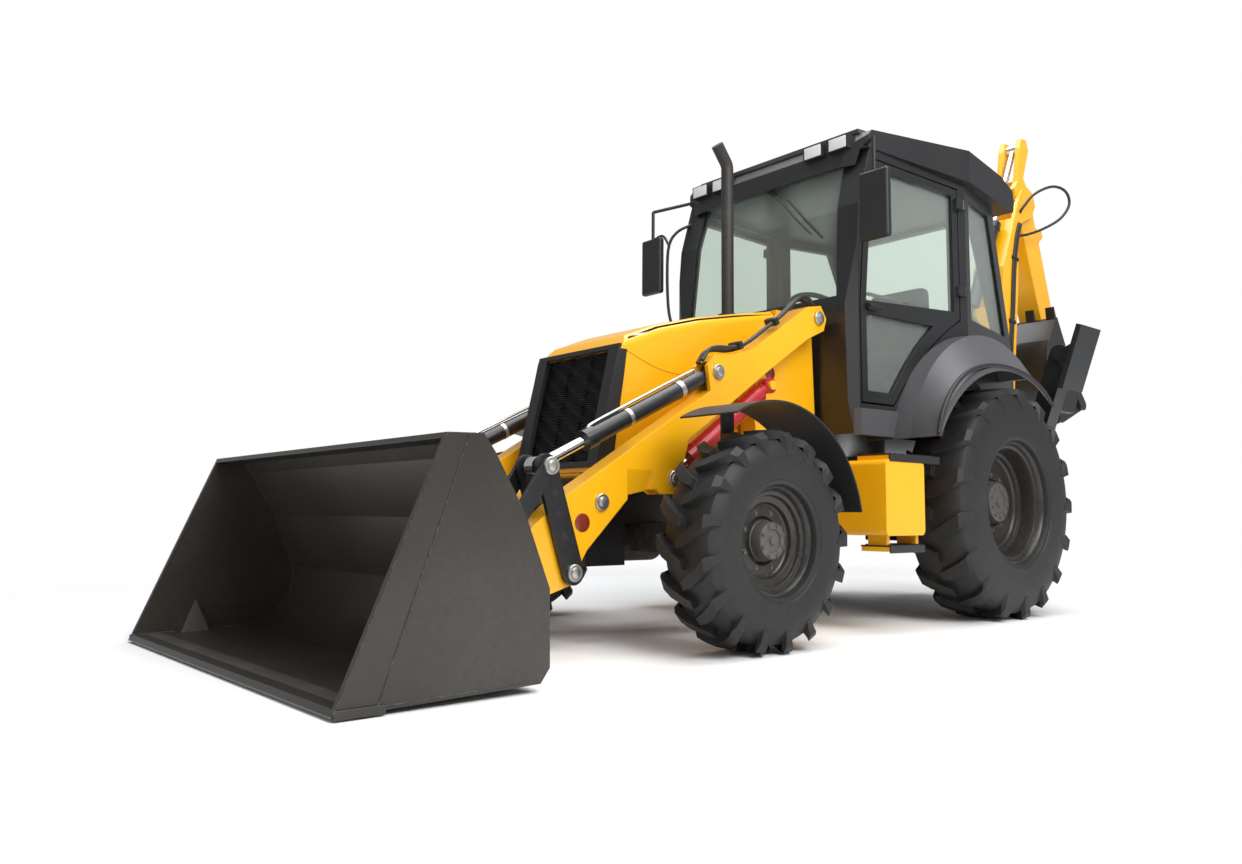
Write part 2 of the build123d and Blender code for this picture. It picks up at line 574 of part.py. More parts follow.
DOOR_HINGE = (DOOR_REAR - 20, 785)
for height in (1950, 2500):
    top = height + HINGE_LENGTH
    strap = block(DOOR_HINGE[0], DOOR_REAR + 60, DOOR_HINGE[1] - 6, DOOR_HINGE[1] + 6, height, top)
    strap += block(DOOR_REAR + PANEL_GAP + 5, DOOR_REAR + 60, 740, DOOR_HINGE[1], height, top)
    door_left += strap + rod((*DOOR_HINGE, height), (*DOOR_HINGE, top), HINGE_RADIUS)
door_glass_left = glass_shell & (upper_window + lower_window)
save("door_left", door_left)
save("door_right", mirrored(door_left))
save("door_glass_left", door_glass_left)
save("door_glass_right", mirrored(door_glass_left))
fixed_openings = quarter_window + mirrored(quarter_window) + windscreen_opening + rear_opening
cab_frame = cab_shell - door_opening - mirrored(door_opening) - fixed_openings
MOUNT_SIZE = 100
for x in (850, -560):
    mount = block(x, x + MOUNT_SIZE, RAIL_Y - RAIL_WIDTH, RAIL_Y, RAIL_TOP, CAB_FLOOR)
    cab_frame += mount + mirrored(mount)
save("cab_frame", cab_frame)
save("cab_glass", glass_shell & fixed_openings)

# Cowl between the cab and the hood
cowl = block(1040, COWL_FRONT, -RAIL_Y - 30, RAIL_Y + 30, RAIL_TOP, COWL_TOP) - cab_body
save("cowl", cowl)

# Roof with a visor over the windscreen
ROOF_TOP = 2895
roof_plan = [(1015, 560), (960, 725), (0, 805), (-790, 690)]
roof_side = [
    (1015, 2600), (1000, 2720), (930, 2800), (0, ROOF_TOP), (-560, ROOF_TOP - 10), (-770, 2840), (-790, 2760),
    (-770, CAB_TOP), (975, CAB_TOP), (985, 2600)]
roof = slab([*roof_plan, *[(x, -y) for x, y in reversed(roof_plan)]], CAB_TOP - 100, ROOF_TOP)
roof = (roof & plate(roof_side, -900, 900)) - cab_body
save("cab_roof", roof)

lamps = [block(940, 1030, y - 70, y + 70, 2700, 2780) for y in (-560, -380, 380, 560)]
lamps += [block(-815, -700, y - 60, y + 60, 2730, 2820) for y in (-520, 520)]
save("roof_lamps", Compound([(lamp - roof).solids().sort_by(SortBy.VOLUME)[-1] for lamp in lamps]))

MIRROR_X = 1150
mirror_arm = rod((900, 650, CAB_TOP + 40), (MIRROR_X, 890, CAB_TOP - 40), 11)
mirror_arm += rod((MIRROR_X, 890, CAB_TOP - 40), (MIRROR_X, 890, 2440), 11)
mirror_head = block(MIRROR_X - 22, MIRROR_X + 22, 800, 985, 2080, 2460)
mirror_left = fillet(mirror_head.edges(), 15) + (mirror_arm - roof - cab_body)
save("mirrors", both(mirror_left))

# Inside the cab
inner_floor = CAB_FLOOR + CAB_WALL
SEAT_X = -150
seat = fillet(block(SEAT_X - 250, SEAT_X + 250, -250, 250, 1560, 1690).edges(), 40)
seat += fillet(block(SEAT_X - 330, SEAT_X - 200, -230, 230, 1600, 2200).edges(), 40)
save("operator_seat", seat)
stand = block(SEAT_X - 180, SEAT_X + 180, -180, 180, inner_floor, 1560)
column = block(640, 760, -90, 90, inner_floor, 1650) + rod((700, 0, 1600), (520, 0, 1900), 35)
wheel_plane = Plane(origin=(520, 0, 1900), z_dir=(-180, 0, 300))
steering_wheel = wheel_plane * Torus(190, 16) + wheel_plane * Box(380, 40, 12)
steering_wheel += wheel_plane * Box(40, 380, 12)
save("cab_controls", Compound([*stand.solids(), *(column + steering_wheel).solids()]))

# Rear fenders, seated on the cab's side walls over the rear tyres
REAR_FENDER_SHEET = 26


def fender_section(front, crown, back, y):
    low_front = (front[0] - REAR_FENDER_SHEET, front[1])
    low_crown = (crown[0], crown[1] - REAR_FENDER_SHEET)
    low_back = (back[0] + REAR_FENDER_SHEET, back[1])
    outline = [
        ThreePointArc(lift(front, y), lift(crown, y), lift(back, y)),
        Line(lift(back, y), lift(low_back, y)),
        ThreePointArc(lift(low_back, y), lift(low_crown, y), lift(low_front, y)),
        Line(lift(low_front, y), lift(front, y)),
    ]
    return make_face(outline)


rear_fender = loft([
    fender_section((800, 1030), (100, 1715), (-640, 1500), 560),
    fender_section((800, 1030), (100, 1695), (-640, 1500), 850),
    fender_section((850, 1030), (60, 1480), (-480, 1290), 1060)], ruled=True)
rear_fender = (rear_fender - cab_body).solids().sort_by(SortBy.VOLUME)[-1]
save("rear_fenders", both(rear_fender))

# Tank and tool box with steps
tyre_gap = WHEELBASE - FRONT_TYRE_RADIUS - REAR_TYRE_RADIUS
BOX_REAR = REAR_TYRE_RADIUS + 0.22 * tyre_gap
BOX_FRONT = REAR_TYRE_RADIUS + 0.571 * tyre_gap
BOX_TOP = 890
BOX_OUTER = 1000
box = fillet(block(BOX_REAR, BOX_FRONT, 480, BOX_OUTER, 500, BOX_TOP).edges().filter_by(Axis.Y), 30)
box += block(BOX_REAR + 25, BOX_REAR + 185, RAIL_Y, 480, 620, 740)
box += block(BOX_REAR - 145, BOX_FRONT - 40, 800, BOX_OUTER, BOX_TOP - 1, BOX_TOP + 26)
box += block(BOX_REAR + 25, BOX_FRONT - 22, 830, BOX_OUTER + 5, 420, 446)
for near in (BOX_REAR + 30, BOX_FRONT - 62):
    box += block(near, near + 25, 860, 975, 420, 501)
save("side_boxes", both(box))

# Rear frame with the king post
KING_RADIUS = 100
KING_PIN = 50
KING_BOTTOM = 520
KING_TOP = 880
FRAME_BACK = -1180
REAR_HALF_WIDTH = 480
rear_frame = block(FRAME_BACK, FRAME_REAR, -REAR_HALF_WIDTH, REAR_HALF_WIDTH, 420, 900)
rear_frame += block(SWING_X, FRAME_BACK, -80, 80, KING_BOTTOM, KING_TOP)
rear_frame += rod((SWING_X, 0, KING_BOTTOM), (SWING_X, 0, KING_TOP), KING_RADIUS)
rear_frame -= rod((SWING_X, 0, KING_BOTTOM), (SWING_X, 0, KING_TOP), KING_PIN + PIN_GAP)
LEG_PIN = 35
EAR = 30
leg_ear_outline = [
    (REAR_HALF_WIDTH, 480), (LEG_FOOT[0] + 20, 530), (LEG_FOOT[0] + 70, 600), (LEG_FOOT[0] + 20, 670),
    (REAR_HALF_WIDTH, 720)]
leg_half = LEG_WIDTH / 2
for near in (LEG_X - leg_half - SIDE_GAP - EAR, LEG_X + leg_half + SIDE_GAP):
    leg_ear = cross_plate(leg_ear_outline, near, near + EAR)
    leg_ear -= rod((near, *LEG_FOOT), (near + EAR, *LEG_FOOT), LEG_PIN + PIN_GAP)
    rear_frame += leg_ear + mirrored(leg_ear)
save("rear_frame", rear_frame)

# Tie-down lugs
LUG_HOLE = 25
rear_lug = block(FRAME_BACK - 80, FRAME_BACK, 440, 470, 430, 530)
rear_lug -= rod((FRAME_BACK - 42, 430, 480), (FRAME_BACK - 42, 480, 480), LUG_HOLE)
front_lug = block(FRAME_FRONT, FRAME_FRONT + 110, 200, 230, 400, 500)
front_lug -= rod((FRAME_FRONT + 72, 190, 450), (FRAME_FRONT + 72, 240, 450), LUG_HOLE)
save("tie_down_lugs", Compound([*both(rear_lug).solids(), *both(front_lug).solids()]))

# Stabilizer legs and pads
leg_run = Vector(PAD_PIN[0] - LEG_FOOT[0], PAD_PIN[1] - LEG_FOOT[1])
leg_side = Vector(-leg_run.Y, leg_run.X).normalized() * 62
leg_points = [
    (LEG_FOOT[0] + leg_side.X, LEG_FOOT[1] + leg_side.Y), (PAD_PIN[0] + leg_side.X, PAD_PIN[1] + leg_side.Y),
    (PAD_PIN[0] - leg_side.X, PAD_PIN[1] - leg_side.Y), (LEG_FOOT[0] - leg_side.X, LEG_FOOT[1] - leg_side.Y)]
leg_near = LEG_X - leg_half
leg_far = LEG_X + leg_half
leg = cross_plate(leg_points, leg_near, leg_far)
leg += rod((leg_near, *LEG_FOOT), (leg_far, *LEG_FOOT), 62)
leg += rod((leg_near, *PAD_PIN), (leg_far, *PAD_PIN), 62)
leg += rod((leg_near - EAR - SIDE_GAP, *LEG_FOOT), (leg_far + EAR + SIDE_GAP, *LEG_FOOT), LEG_PIN)
leg -= rod((leg_near, *PAD_PIN), (leg_far, *PAD_PIN), PIN_RADIUS + PIN_GAP)
save("stabilizer_leg_left", leg)
save("stabilizer_leg_right", mirrored(leg))
PAD_SHEET = 36
pad_plate = Pos(LEG_X, 0, 0) * Box(PAD_WIDTH, PAD_SHEET, PAD_LENGTH)
pad = Pos(0, PAD_REACH, 0) * pad_plate
for near in (leg_near - SIDE_GAP - 20, leg_far + SIDE_GAP):
    web = [(-30, -40), (0, 45), (30, 45), (PAD_REACH, 120), (PAD_REACH, -150), (20, -45)]
    pad += cross_plate(web, near, near + 20)
    pad += rod((near, 0, 0), (near + 20, 0, 0), 45)
pad += rod((leg_near - SIDE_GAP - 20, 0, 0), (leg_far + SIDE_GAP + 20, 0, 0), PIN_RADIUS)
pad = Pos(0, *PAD_PIN) * Rot(-PAD_TILT, 0, 0) * pad
save("stabilizer_pad_left", pad)
save("stabilizer_pad_right", mirrored(pad))

# Swing casting between the king post and the boom
CASTING_SIDE = BOOM_HALF_WIDTH + 5
CASTING_PLATE = 30
casting_half = CASTING_SIDE + CASTING_PLATE
CASTING_BACK = BOOM_FOOT[0] - 90
CASTING_FRONT = BOOM_FOOT[0] + FOOT_RADIUS + 6
KING_GAP = 8
casting = rod((SWING_X, 0, KING_BOTTOM - KING_GAP - 40), (SWING_X, 0, KING_TOP + KING_GAP + 40), KING_PIN)
for low in (KING_BOTTOM - KING_GAP - 40, KING_TOP + KING_GAP):
    casting += rod((SWING_X, 0, low), (SWING_X, 0, low + 40), 120)
    casting += slab([
        (SWING_X, 120), (CASTING_FRONT, casting_half), (CASTING_BACK, casting_half), (CASTING_BACK, CASTING_SIDE),
        (CASTING_FRONT, CASTING_SIDE), (CASTING_FRONT, -CASTING_SIDE), (CASTING_BACK, -CASTING_SIDE),
        (CASTING_BACK, -casting_half), (CASTING_FRONT, -casting_half), (SWING_X, -120)], low, low + 40)
casting_cheek = [
    (CASTING_FRONT, 472), (CASTING_FRONT, 928), (CASTING_BACK + 40, 928), (CASTING_BACK, 860), (CASTING_BACK, 700),
    (-1600, 472)]
cheek = plate(casting_cheek, CASTING_SIDE, casting_half)
casting += cheek + mirrored(cheek)
BASE_SIDE = 65
tower_ear = plate([(-1519, 927), (-1495, 1125), (-1460, 1145), (-1410, 1130), (-1375, 927)],
                  BASE_SIDE, BASE_SIDE + 30)
casting += tower_ear + mirrored(tower_ear)
casting += pin(BOOM_BASE, PIN_RADIUS, -BASE_SIDE, BASE_SIDE)
casting += pin(BOOM_FOOT, HOE_PIN_RADIUS, -casting_half, casting_half)
save("swing_casting", casting)

# Boom
boom_outline = [
    (-1535, 780), (-1585, 1000), (-1605, 1500), (-1610, 1950), (-1640, 2250), (-1695, 2590), (-1850, 2910),
    (-1955, 3160), (-2050, 3300), (-2130, 3335), (-2220, 3300), (-2262, 3201), (-2200, 3090), (-2030, 3010),
    (-1950, 2830), (-1925, 2450), (-1850, 1900), (-1800, 1500), (-1745, 1000), (-1712, 780)]
boom = plate(boom_outline, -BOOM_HALF_WIDTH, BOOM_HALF_WIDTH)
boom += pin(BOOM_FOOT, FOOT_RADIUS, -BOOM_HALF_WIDTH, BOOM_HALF_WIDTH)
boom -= pin(BOOM_FOOT, HOE_PIN_RADIUS + PIN_GAP, -BOOM_HALF_WIDTH, BOOM_HALF_WIDTH)
fork_inner = DIPPER_HALF_WIDTH + SIDE_GAP
fork = plate([(-1900, 2600), (-1900, 3500), (-2500, 3500), (-2500, 2600)], -fork_inner, fork_inner)
boom -= fork
EAR_SIDE = 50
boom_ear = plate([(-1620, 1840), (-1470, 1910), (-1462, 1960), (-1490, 2000), (-1640, 2060)],
                 EAR_SIDE, EAR_SIDE + 25)
base_ear = plate([(-1620, 2030), (-1400, 2090), (-1345, 2130), (-1350, 2190), (-1400, 2210), (-1660, 2280)],
                 EAR_SIDE, EAR_SIDE + 25)
boom += boom_ear + mirrored(boom_ear) + base_ear + mirrored(base_ear)
boom += pin(DIPPER_BASE, PIN_RADIUS, -EAR_SIDE - 25, EAR_SIDE + 25)
boom += pin(BOOM_TIP, HOE_PIN_RADIUS, -BOOM_HALF_WIDTH, BOOM_HALF_WIDTH)
save("boom", boom)
EAR_GAP = 2
cylinder_width = 2 * (EAR_SIDE - EAR_GAP)
boom_foot_width = 2 * (BASE_SIDE - EAR_GAP)
boom_barrel = barrel(BOOM_BASE, BOOM_EYE, 0, BOOM_BARREL, CYLINDER_RADIUS + 7, boom_foot_width, PIN_RADIUS)
save("boom_barrel", boom_barrel)
save("boom_rod", piston(BOOM_BASE, BOOM_EYE, 0, 100, cylinder_width))
dipper_barrel = barrel(DIPPER_BASE, DIPPER_EYE, 0, DIPPER_BARREL, CYLINDER_RADIUS, cylinder_width, PIN_RADIUS)
save("dipper_barrel", dipper_barrel)
save("dipper_rod", piston(DIPPER_BASE, DIPPER_EYE, 0, 830, cylinder_width))

# Dipper, drawn along its own axis from the bucket pin: rear first, then up the axis
lean = math.radians(DIPPER_LEAN)
BUCKET_PIN = (BOOM_TIP[0] - DIPPER_LENGTH * math.cos(lean), BOOM_TIP[1] - DIPPER_LENGTH * math.sin(lean))


def on_dipper(rear, up):
    return (BUCKET_PIN[0] - rear * math.sin(lean) + up * math.cos(lean),
            BUCKET_PIN[1] + rear * math.cos(lean) + up * math.sin(lean))


def polar(centre, radius, degrees):
    """A place round a centre, its angle measured from the dipper's axis towards the rear."""
    turn = math.radians(degrees)
    return (centre[0] + radius * (math.cos(lean) * math.cos(turn) - math.sin(lean) * math.sin(turn)),
            centre[1] + radius * (math.sin(lean) * math.cos(turn) + math.cos(lean) * math.sin(turn)))


dipper_outline = [on_dipper(r, u) for r, u in (
    (-60, -50), (60, -50), (85, 60), (115, 500), (125, CURL_BASE[1] - 150), (115, DIPPER_LENGTH + 100),
    (60, DIPPER_LENGTH + 250), (-110, DIPPER_LENGTH + 150), (-125, DIPPER_LENGTH - 150), (-115, 900),
    (-85, 60))]
dipper = plate(dipper_outline, -DIPPER_HALF_WIDTH, DIPPER_HALF_WIDTH)
neck = [on_dipper(70, DIPPER_LENGTH + 200), on_dipper(-120, DIPPER_LENGTH + 50),
        (DIPPER_EYE[0] + 70, DIPPER_EYE[1] - 20), (DIPPER_EYE[0] + 40, DIPPER_EYE[1] + 65),
        (DIPPER_EYE[0] - 40, DIPPER_EYE[1] + 65),
        (DIPPER_EYE[0] - 75, DIPPER_EYE[1] - 10)]
dipper += plate(neck, -DIPPER_HALF_WIDTH, DIPPER_HALF_WIDTH)
rod_room = bar(DIPPER_EYE, along(DIPPER_EYE, DIPPER_BASE, 500), 200, -EAR_SIDE - EAR_GAP, EAR_SIDE + EAR_GAP)
rod_room += bar(DIPPER_EYE, (DIPPER_EYE[0] + 300, DIPPER_EYE[1] + 100), 200,
                -EAR_SIDE - EAR_GAP, EAR_SIDE + EAR_GAP)
dipper -= rod_room
dipper -= pin(BOOM_TIP, HOE_PIN_RADIUS + PIN_GAP, -DIPPER_HALF_WIDTH, DIPPER_HALF_WIDTH)
guide_place = on_dipper(0, GUIDE_PIVOT)
curl_base = on_dipper(*CURL_BASE)
curl_ear = plate([on_dipper(r, CURL_BASE[1] + u) for r, u in ((100, -150), (180, -50), (260, -20), (260, 30),
                                                              (180, 60), (100, 150))], EAR_SIDE, EAR_SIDE + 25)
dipper += curl_ear + mirrored(curl_ear) + pin(curl_base, PIN_RADIUS, -EAR_SIDE, EAR_SIDE)
dipper -= pin(guide_place, PIN_RADIUS + PIN_GAP, -DIPPER_HALF_WIDTH, DIPPER_HALF_WIDTH)
dipper -= pin(BUCKET_PIN, HOE_PIN_RADIUS + PIN_GAP, -DIPPER_HALF_WIDTH, DIPPER_HALF_WIDTH)
save("dipper", dipper)

# Digging bucket and its linkage
guide_end = polar(guide_place, GUIDE_LENGTH, GUIDE_ANGLE)
link_pin = polar(BUCKET_PIN, BUCKET_LINK_PIN, BUCKET_LINK_ANGLE)
ear_y = DIPPER_HALF_WIDTH + SIDE_GAP
link_y = ear_y + HOE_PLATE + SIDE_GAP
guide_y = link_y + HOE_PLATE + SIDE_GAP
guides = bar(guide_place, guide_end, 90, guide_y, guide_y + HOE_PLATE)
guides += pin(guide_end, PIN_RADIUS, link_y, guide_y + HOE_PLATE)
guides = guides + mirrored(guides) + pin(guide_place, PIN_RADIUS, -guide_y - HOE_PLATE, guide_y + HOE_PLATE)
save("bucket_guides", guides)
hoe_link = bar(guide_end, link_pin, 90, link_y, link_y + HOE_PLATE)
hoe_link -= pin(guide_end, PIN_RADIUS + PIN_GAP, link_y, link_y + HOE_PLATE)
save("digging_links", both(hoe_link))
curl_barrel = barrel(curl_base, guide_end, 0, CURL_BARREL, CYLINDER_RADIUS - 6, cylinder_width, PIN_RADIUS)
save("curl_barrel", curl_barrel)
save("curl_rod", piston(curl_base, guide_end, 0, 700, cylinder_width))

bucket_corners = [(-280, -110), (-120, 40), (-253, 700), (-290, 690), (-470, 560)]
bucket_curve = [(-470, 560), (-605, 260), (-470, -40), (-280, -110)]
TOOTH_HALF_WIDTH = 35


def on_plane(places, y):
    return [lift(on_dipper(rear, up), y) for rear, up in places]


def dipper_plate(places, y0, y1):
    return plate([on_dipper(rear, up) for rear, up in places], y0, y1)


corners = on_plane(bucket_corners, 0)
curve = on_plane(bucket_curve, 0)
outline = [Line(a, b) for a, b in zip(corners, corners[1:])]
outline += [ThreePointArc(*curve[:3]), Line(curve[2], curve[3])]
bucket_face = make_face(outline)
hoe_bucket = extrude(bucket_face, HOE_BUCKET_HALF_WIDTH, dir=(0, 1, 0), both=True)
for side in (ear_y, -ear_y - HOE_PLATE):
    hoe_bucket += dipper_plate([(-130, 60), (-300, -80), (-250, -200), (-160, -210), (65, -60), (75, 20), (20, 75)],
                               side, side + HOE_PLATE)
inside_face = offset(bucket_face, -HOE_PLATE, kind=Kind.INTERSECTION)
hoe_bucket -= extrude(inside_face, HOE_BUCKET_HALF_WIDTH - HOE_PLATE, dir=(0, 1, 0), both=True)
mouth = dipper_plate([(-123, 85), (-242, 675), (-330, 650), (-210, 60)],
                     HOE_PLATE - HOE_BUCKET_HALF_WIDTH, HOE_BUCKET_HALF_WIDTH - HOE_PLATE)
hoe_bucket -= mouth
for middle in (-255, -85, 85, 255):
    hoe_bucket += dipper_plate([(-248, 678), (-289, 680), (-264, 790), (-252, 790)],
                               middle - TOOTH_HALF_WIDTH, middle + TOOTH_HALF_WIDTH)
hoe_bucket += pin(BUCKET_PIN, HOE_PIN_RADIUS, -ear_y - HOE_PLATE, ear_y + HOE_PLATE)
save("digging_bucket", hoe_bucket)
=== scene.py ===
import math
import bmesh
import bpy
from mathutils import Matrix, Vector


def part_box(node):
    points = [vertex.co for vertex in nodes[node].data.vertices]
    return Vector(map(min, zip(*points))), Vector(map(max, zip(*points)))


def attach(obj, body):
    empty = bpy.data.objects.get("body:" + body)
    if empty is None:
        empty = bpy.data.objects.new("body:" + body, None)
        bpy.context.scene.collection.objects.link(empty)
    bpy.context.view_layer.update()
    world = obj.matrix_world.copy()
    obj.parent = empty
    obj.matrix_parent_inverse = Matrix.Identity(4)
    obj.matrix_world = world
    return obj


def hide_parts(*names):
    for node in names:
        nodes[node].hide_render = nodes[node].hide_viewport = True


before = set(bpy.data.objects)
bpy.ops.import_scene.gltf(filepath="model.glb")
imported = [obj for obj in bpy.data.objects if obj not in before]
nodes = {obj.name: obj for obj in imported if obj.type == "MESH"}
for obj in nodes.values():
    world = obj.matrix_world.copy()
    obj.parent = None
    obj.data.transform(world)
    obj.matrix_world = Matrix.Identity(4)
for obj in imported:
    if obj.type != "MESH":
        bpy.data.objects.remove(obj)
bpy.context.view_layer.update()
scene = bpy.context.scene

AXLE_TO_MIDDLE = 613
SIDES = (("left", 1), ("right", -1))


def at(x, y, z):
    """A place given in mm from the rear axle, as metres in the shared frame."""
    return Vector(((x - AXLE_TO_MIDDLE) / 1000, y / 1000, z / 1000))


# Shared surface effects

FLOAT, COLOUR, VECTOR = "NodeSocketFloat", "NodeSocketColor", "NodeSocketVector"


def start_group(name, inputs, outputs):
    """An empty effect with its named inputs and outputs."""
    tree = bpy.data.node_groups.new(name, "ShaderNodeTree")
    for label, kind, value in inputs:
        socket = tree.interface.new_socket(label, in_out="INPUT", socket_type=kind)
        socket.default_value = value
    for label, kind in outputs:
        tree.interface.new_socket(label, in_out="OUTPUT", socket_type=kind)
    return tree, tree.nodes.new("NodeGroupInput"), tree.nodes.new("NodeGroupOutput")


def add(tree, kind, links=None, **values):
    """A new node; its sockets are given as links from other nodes or as plain values."""
    node = tree.nodes.new(kind)
    for key, value in values.items():
        setattr(node, key, value)
    for socket, source in (links or {}).items():
        if hasattr(source, "is_output"):
            tree.links.new(source, node.inputs[socket])
        else:
            node.inputs[socket].default_value = source
    return node


def noise(tree, place, scale, detail):
    """Noise that stays put on the object."""
    links = {"Vector": place.outputs["Object"], "Scale": scale, "Detail": detail}
    return add(tree, "ShaderNodeTexNoise", links).outputs["Fac"]


def remap(tree, value, low=0.0, high=1.0, to_low=0.0, to_high=1.0, **options):
    """A value carried over from one range to another."""
    links = {"Value": value, "From Min": low, "From Max": high, "To Min": to_low, "To Max": to_high}
    return add(tree, "ShaderNodeMapRange", links, **options).outputs[0]


def times(tree, one, other):
    """The product of two values."""
    return add(tree, "ShaderNodeMath", {0: one, 1: other}, operation="MULTIPLY").outputs[0]


def make_weathering():
    """Broad tone changes plus dust in patches that gather low down."""
    tree, into, out = start_group(
        "weathered_colour",
        [("Colour", COLOUR, (0.5, 0.5, 0.5, 1)), ("Dust", COLOUR, (0.3, 0.27, 0.22, 1)),
         ("Amount", FLOAT, 0.2), ("Tone", FLOAT, 0.1)],
        [("Colour", COLOUR), ("Dust mask", FLOAT)])
    place = add(tree, "ShaderNodeTexCoord")
    broad = noise(tree, place, 2.3, 6.0)
    fine = noise(tree, place, 46.0, 5.0)
    split = add(tree, "ShaderNodeSeparateXYZ", {"Vector": place.outputs["Object"]})
    low = remap(tree, split.outputs["Z"], 1.3, 0.0, 0.25, 1.0)
    patches = remap(tree, times(tree, broad, fine), 0.18, 0.42)
    mask = times(tree, times(tree, patches, low), into.outputs["Amount"])
    swing = remap(tree, broad, 0.3, 0.7, -1.0, 1.0)
    shift = add(tree, "ShaderNodeMath", {0: swing, 1: into.outputs["Tone"], 2: 1.0}, operation="MULTIPLY_ADD")
    toned = add(tree, "ShaderNodeVectorMath", {0: into.outputs["Colour"], "Scale": shift.outputs[0]},
                operation="SCALE")
    mixed = add(tree, "ShaderNodeMix", {0: mask, 6: toned.outputs[0], 7: into.outputs["Dust"]},
                data_type="RGBA")
    tree.links.new(mixed.outputs[2], out.inputs["Colour"])
    tree.links.new(mask, out.inputs["Dust mask"])
    return tree


def make_edges():
    """Softened edge normals with a fine grain, and a mask of the edges in chipped patches, used both for wear
    and for a painted edge highlight.
    """
    tree, into, out = start_group(
        "soft_edges", [("Radius", FLOAT, 0.004), ("Grain", FLOAT, 0.05), ("Grain scale", FLOAT, 220.0)],
        [("Normal", VECTOR), ("Wear and highlight", FLOAT)])
    place = add(tree, "ShaderNodeTexCoord")
    soft = add(tree, "ShaderNodeBevel", {"Radius": into.outputs["Radius"]}, samples=4)
    flat = add(tree, "ShaderNodeNewGeometry")
    dot = add(tree, "ShaderNodeVectorMath", {0: soft.outputs["Normal"], 1: flat.outputs["Normal"]},
              operation="DOT_PRODUCT")
    # Edge mask where the softened normal turns away from the face; the colour it carries is partly a painted
    # edge highlight.
    limit = remap(tree, dot.outputs["Value"], 0.97, 0.80)
    chips = remap(tree, noise(tree, place, 60.0, 4.0), 0.50, 0.62)
    grain = noise(tree, place, into.outputs["Grain scale"], 3.0)
    bump = add(tree, "ShaderNodeBump", {"Strength": into.outputs["Grain"], "Distance": 0.002,
                                        "Height": grain, "Normal": soft.outputs["Normal"]})
    tree.links.new(bump.outputs["Normal"], out.inputs["Normal"])
    tree.links.new(times(tree, limit, chips), out.inputs["Wear and highlight"])
    return tree


WEATHERING = make_weathering()
SOFT_EDGES = make_edges()


def surface(name, colour, rough, metallic=0.0, dust=0.15, tone=0.06, grain=0.05, scale=220.0, edge=0.004,
            wear_and_highlight=None, coat=0.0):
    """A painted, moulded or plated surface with dust, grain, and edges in a second colour: chipped wear, and
    on dark finishes a lighter painted edge highlight.
    """
    mat = bpy.data.materials.new(name)
    mat.use_nodes = True
    tree = mat.node_tree
    shader = tree.nodes["Principled BSDF"]
    weather = add(tree, "ShaderNodeGroup", node_tree=WEATHERING)
    weather.inputs["Colour"].default_value = (*colour, 1)
    weather.inputs["Amount"].default_value = dust
    weather.inputs["Tone"].default_value = tone
    edges = add(tree, "ShaderNodeGroup", node_tree=SOFT_EDGES)
    edges.inputs["Radius"].default_value = edge
    edges.inputs["Grain"].default_value = grain
    edges.inputs["Grain scale"].default_value = scale
    last = weather.outputs["Colour"]
    # Edge colour in chipped patches: wear, and on dark finishes a lighter painted edge highlight.
    if wear_and_highlight:
        chip_and_highlight = {0: edges.outputs["Wear and highlight"], 6: last, 7: (*wear_and_highlight, 1)}
        last = add(tree, "ShaderNodeMix", chip_and_highlight, data_type="RGBA").outputs[2]
    tree.links.new(last, shader.inputs["Base Color"])
    dull = remap(tree, weather.outputs["Dust mask"], to_low=rough, to_high=min(1.0, rough + 0.5))
    tree.links.new(dull, shader.inputs["Roughness"])
    tree.links.new(edges.outputs["Normal"], shader.inputs["Normal"])
    shader.inputs["Metallic"].default_value = metallic
    shader.inputs["Coat Weight"].default_value = coat
    shader.inputs["Coat Roughness"].default_value = 0.12
    return mat


def window(name, tint, veil):
    """Tinted glazing that lets light through to the cab."""
    mat = bpy.data.materials.new(name)
    mat.use_nodes = True
    tree = mat.node_tree
    shader = tree.nodes["Principled BSDF"]
    place = add(tree, "ShaderNodeTexCoord")
    haze = remap(tree, noise(tree, place, 5.0, 6.0), 0.3, 0.7, 0.015, 0.035)
    tree.links.new(haze, shader.inputs["Roughness"])
    shader.inputs["Base Color"].default_value = (*tint, 1)
    clear = add(tree, "ShaderNodeBsdfTransparent", {"Color": (*tint, 1)})
    facing = add(tree, "ShaderNodeLayerWeight", {"Blend": 0.25})
    amount = remap(tree, facing.outputs["Facing"], to_low=veil, to_high=0.30)
    ray = add(tree, "ShaderNodeLightPath")
    lit = add(tree, "ShaderNodeMath", {0: 1.0, 1: ray.outputs["Is Shadow Ray"]}, operation="SUBTRACT")
    part = times(tree, amount, lit.outputs[0])
    blend = add(tree, "ShaderNodeMixShader", {0: part, 1: clear.outputs[0], 2: shader.outputs[0]})
    tree.links.new(blend.outputs[0], tree.nodes["Material Output"].inputs["Surface"])
    return mat


def cloth(name, colour):
    """Woven seat cover."""
    mat = surface(name, colour, 0.85, dust=0.05, tone=0.15, grain=0.0, edge=0.003)
    tree = mat.node_tree
    place = add(tree, "ShaderNodeTexCoord")
    weave = add(tree, "ShaderNodeTexWave", {"Vector": place.outputs["Object"], "Scale": 130.0,
                                            "Distortion": 1.5})
    bump = add(tree, "ShaderNodeBump", {"Strength": 0.3, "Distance": 0.002, "Height": weave.outputs["Fac"]})
    tree.links.new(bump.outputs["Normal"], tree.nodes["Principled BSDF"].inputs["Normal"])
    return mat
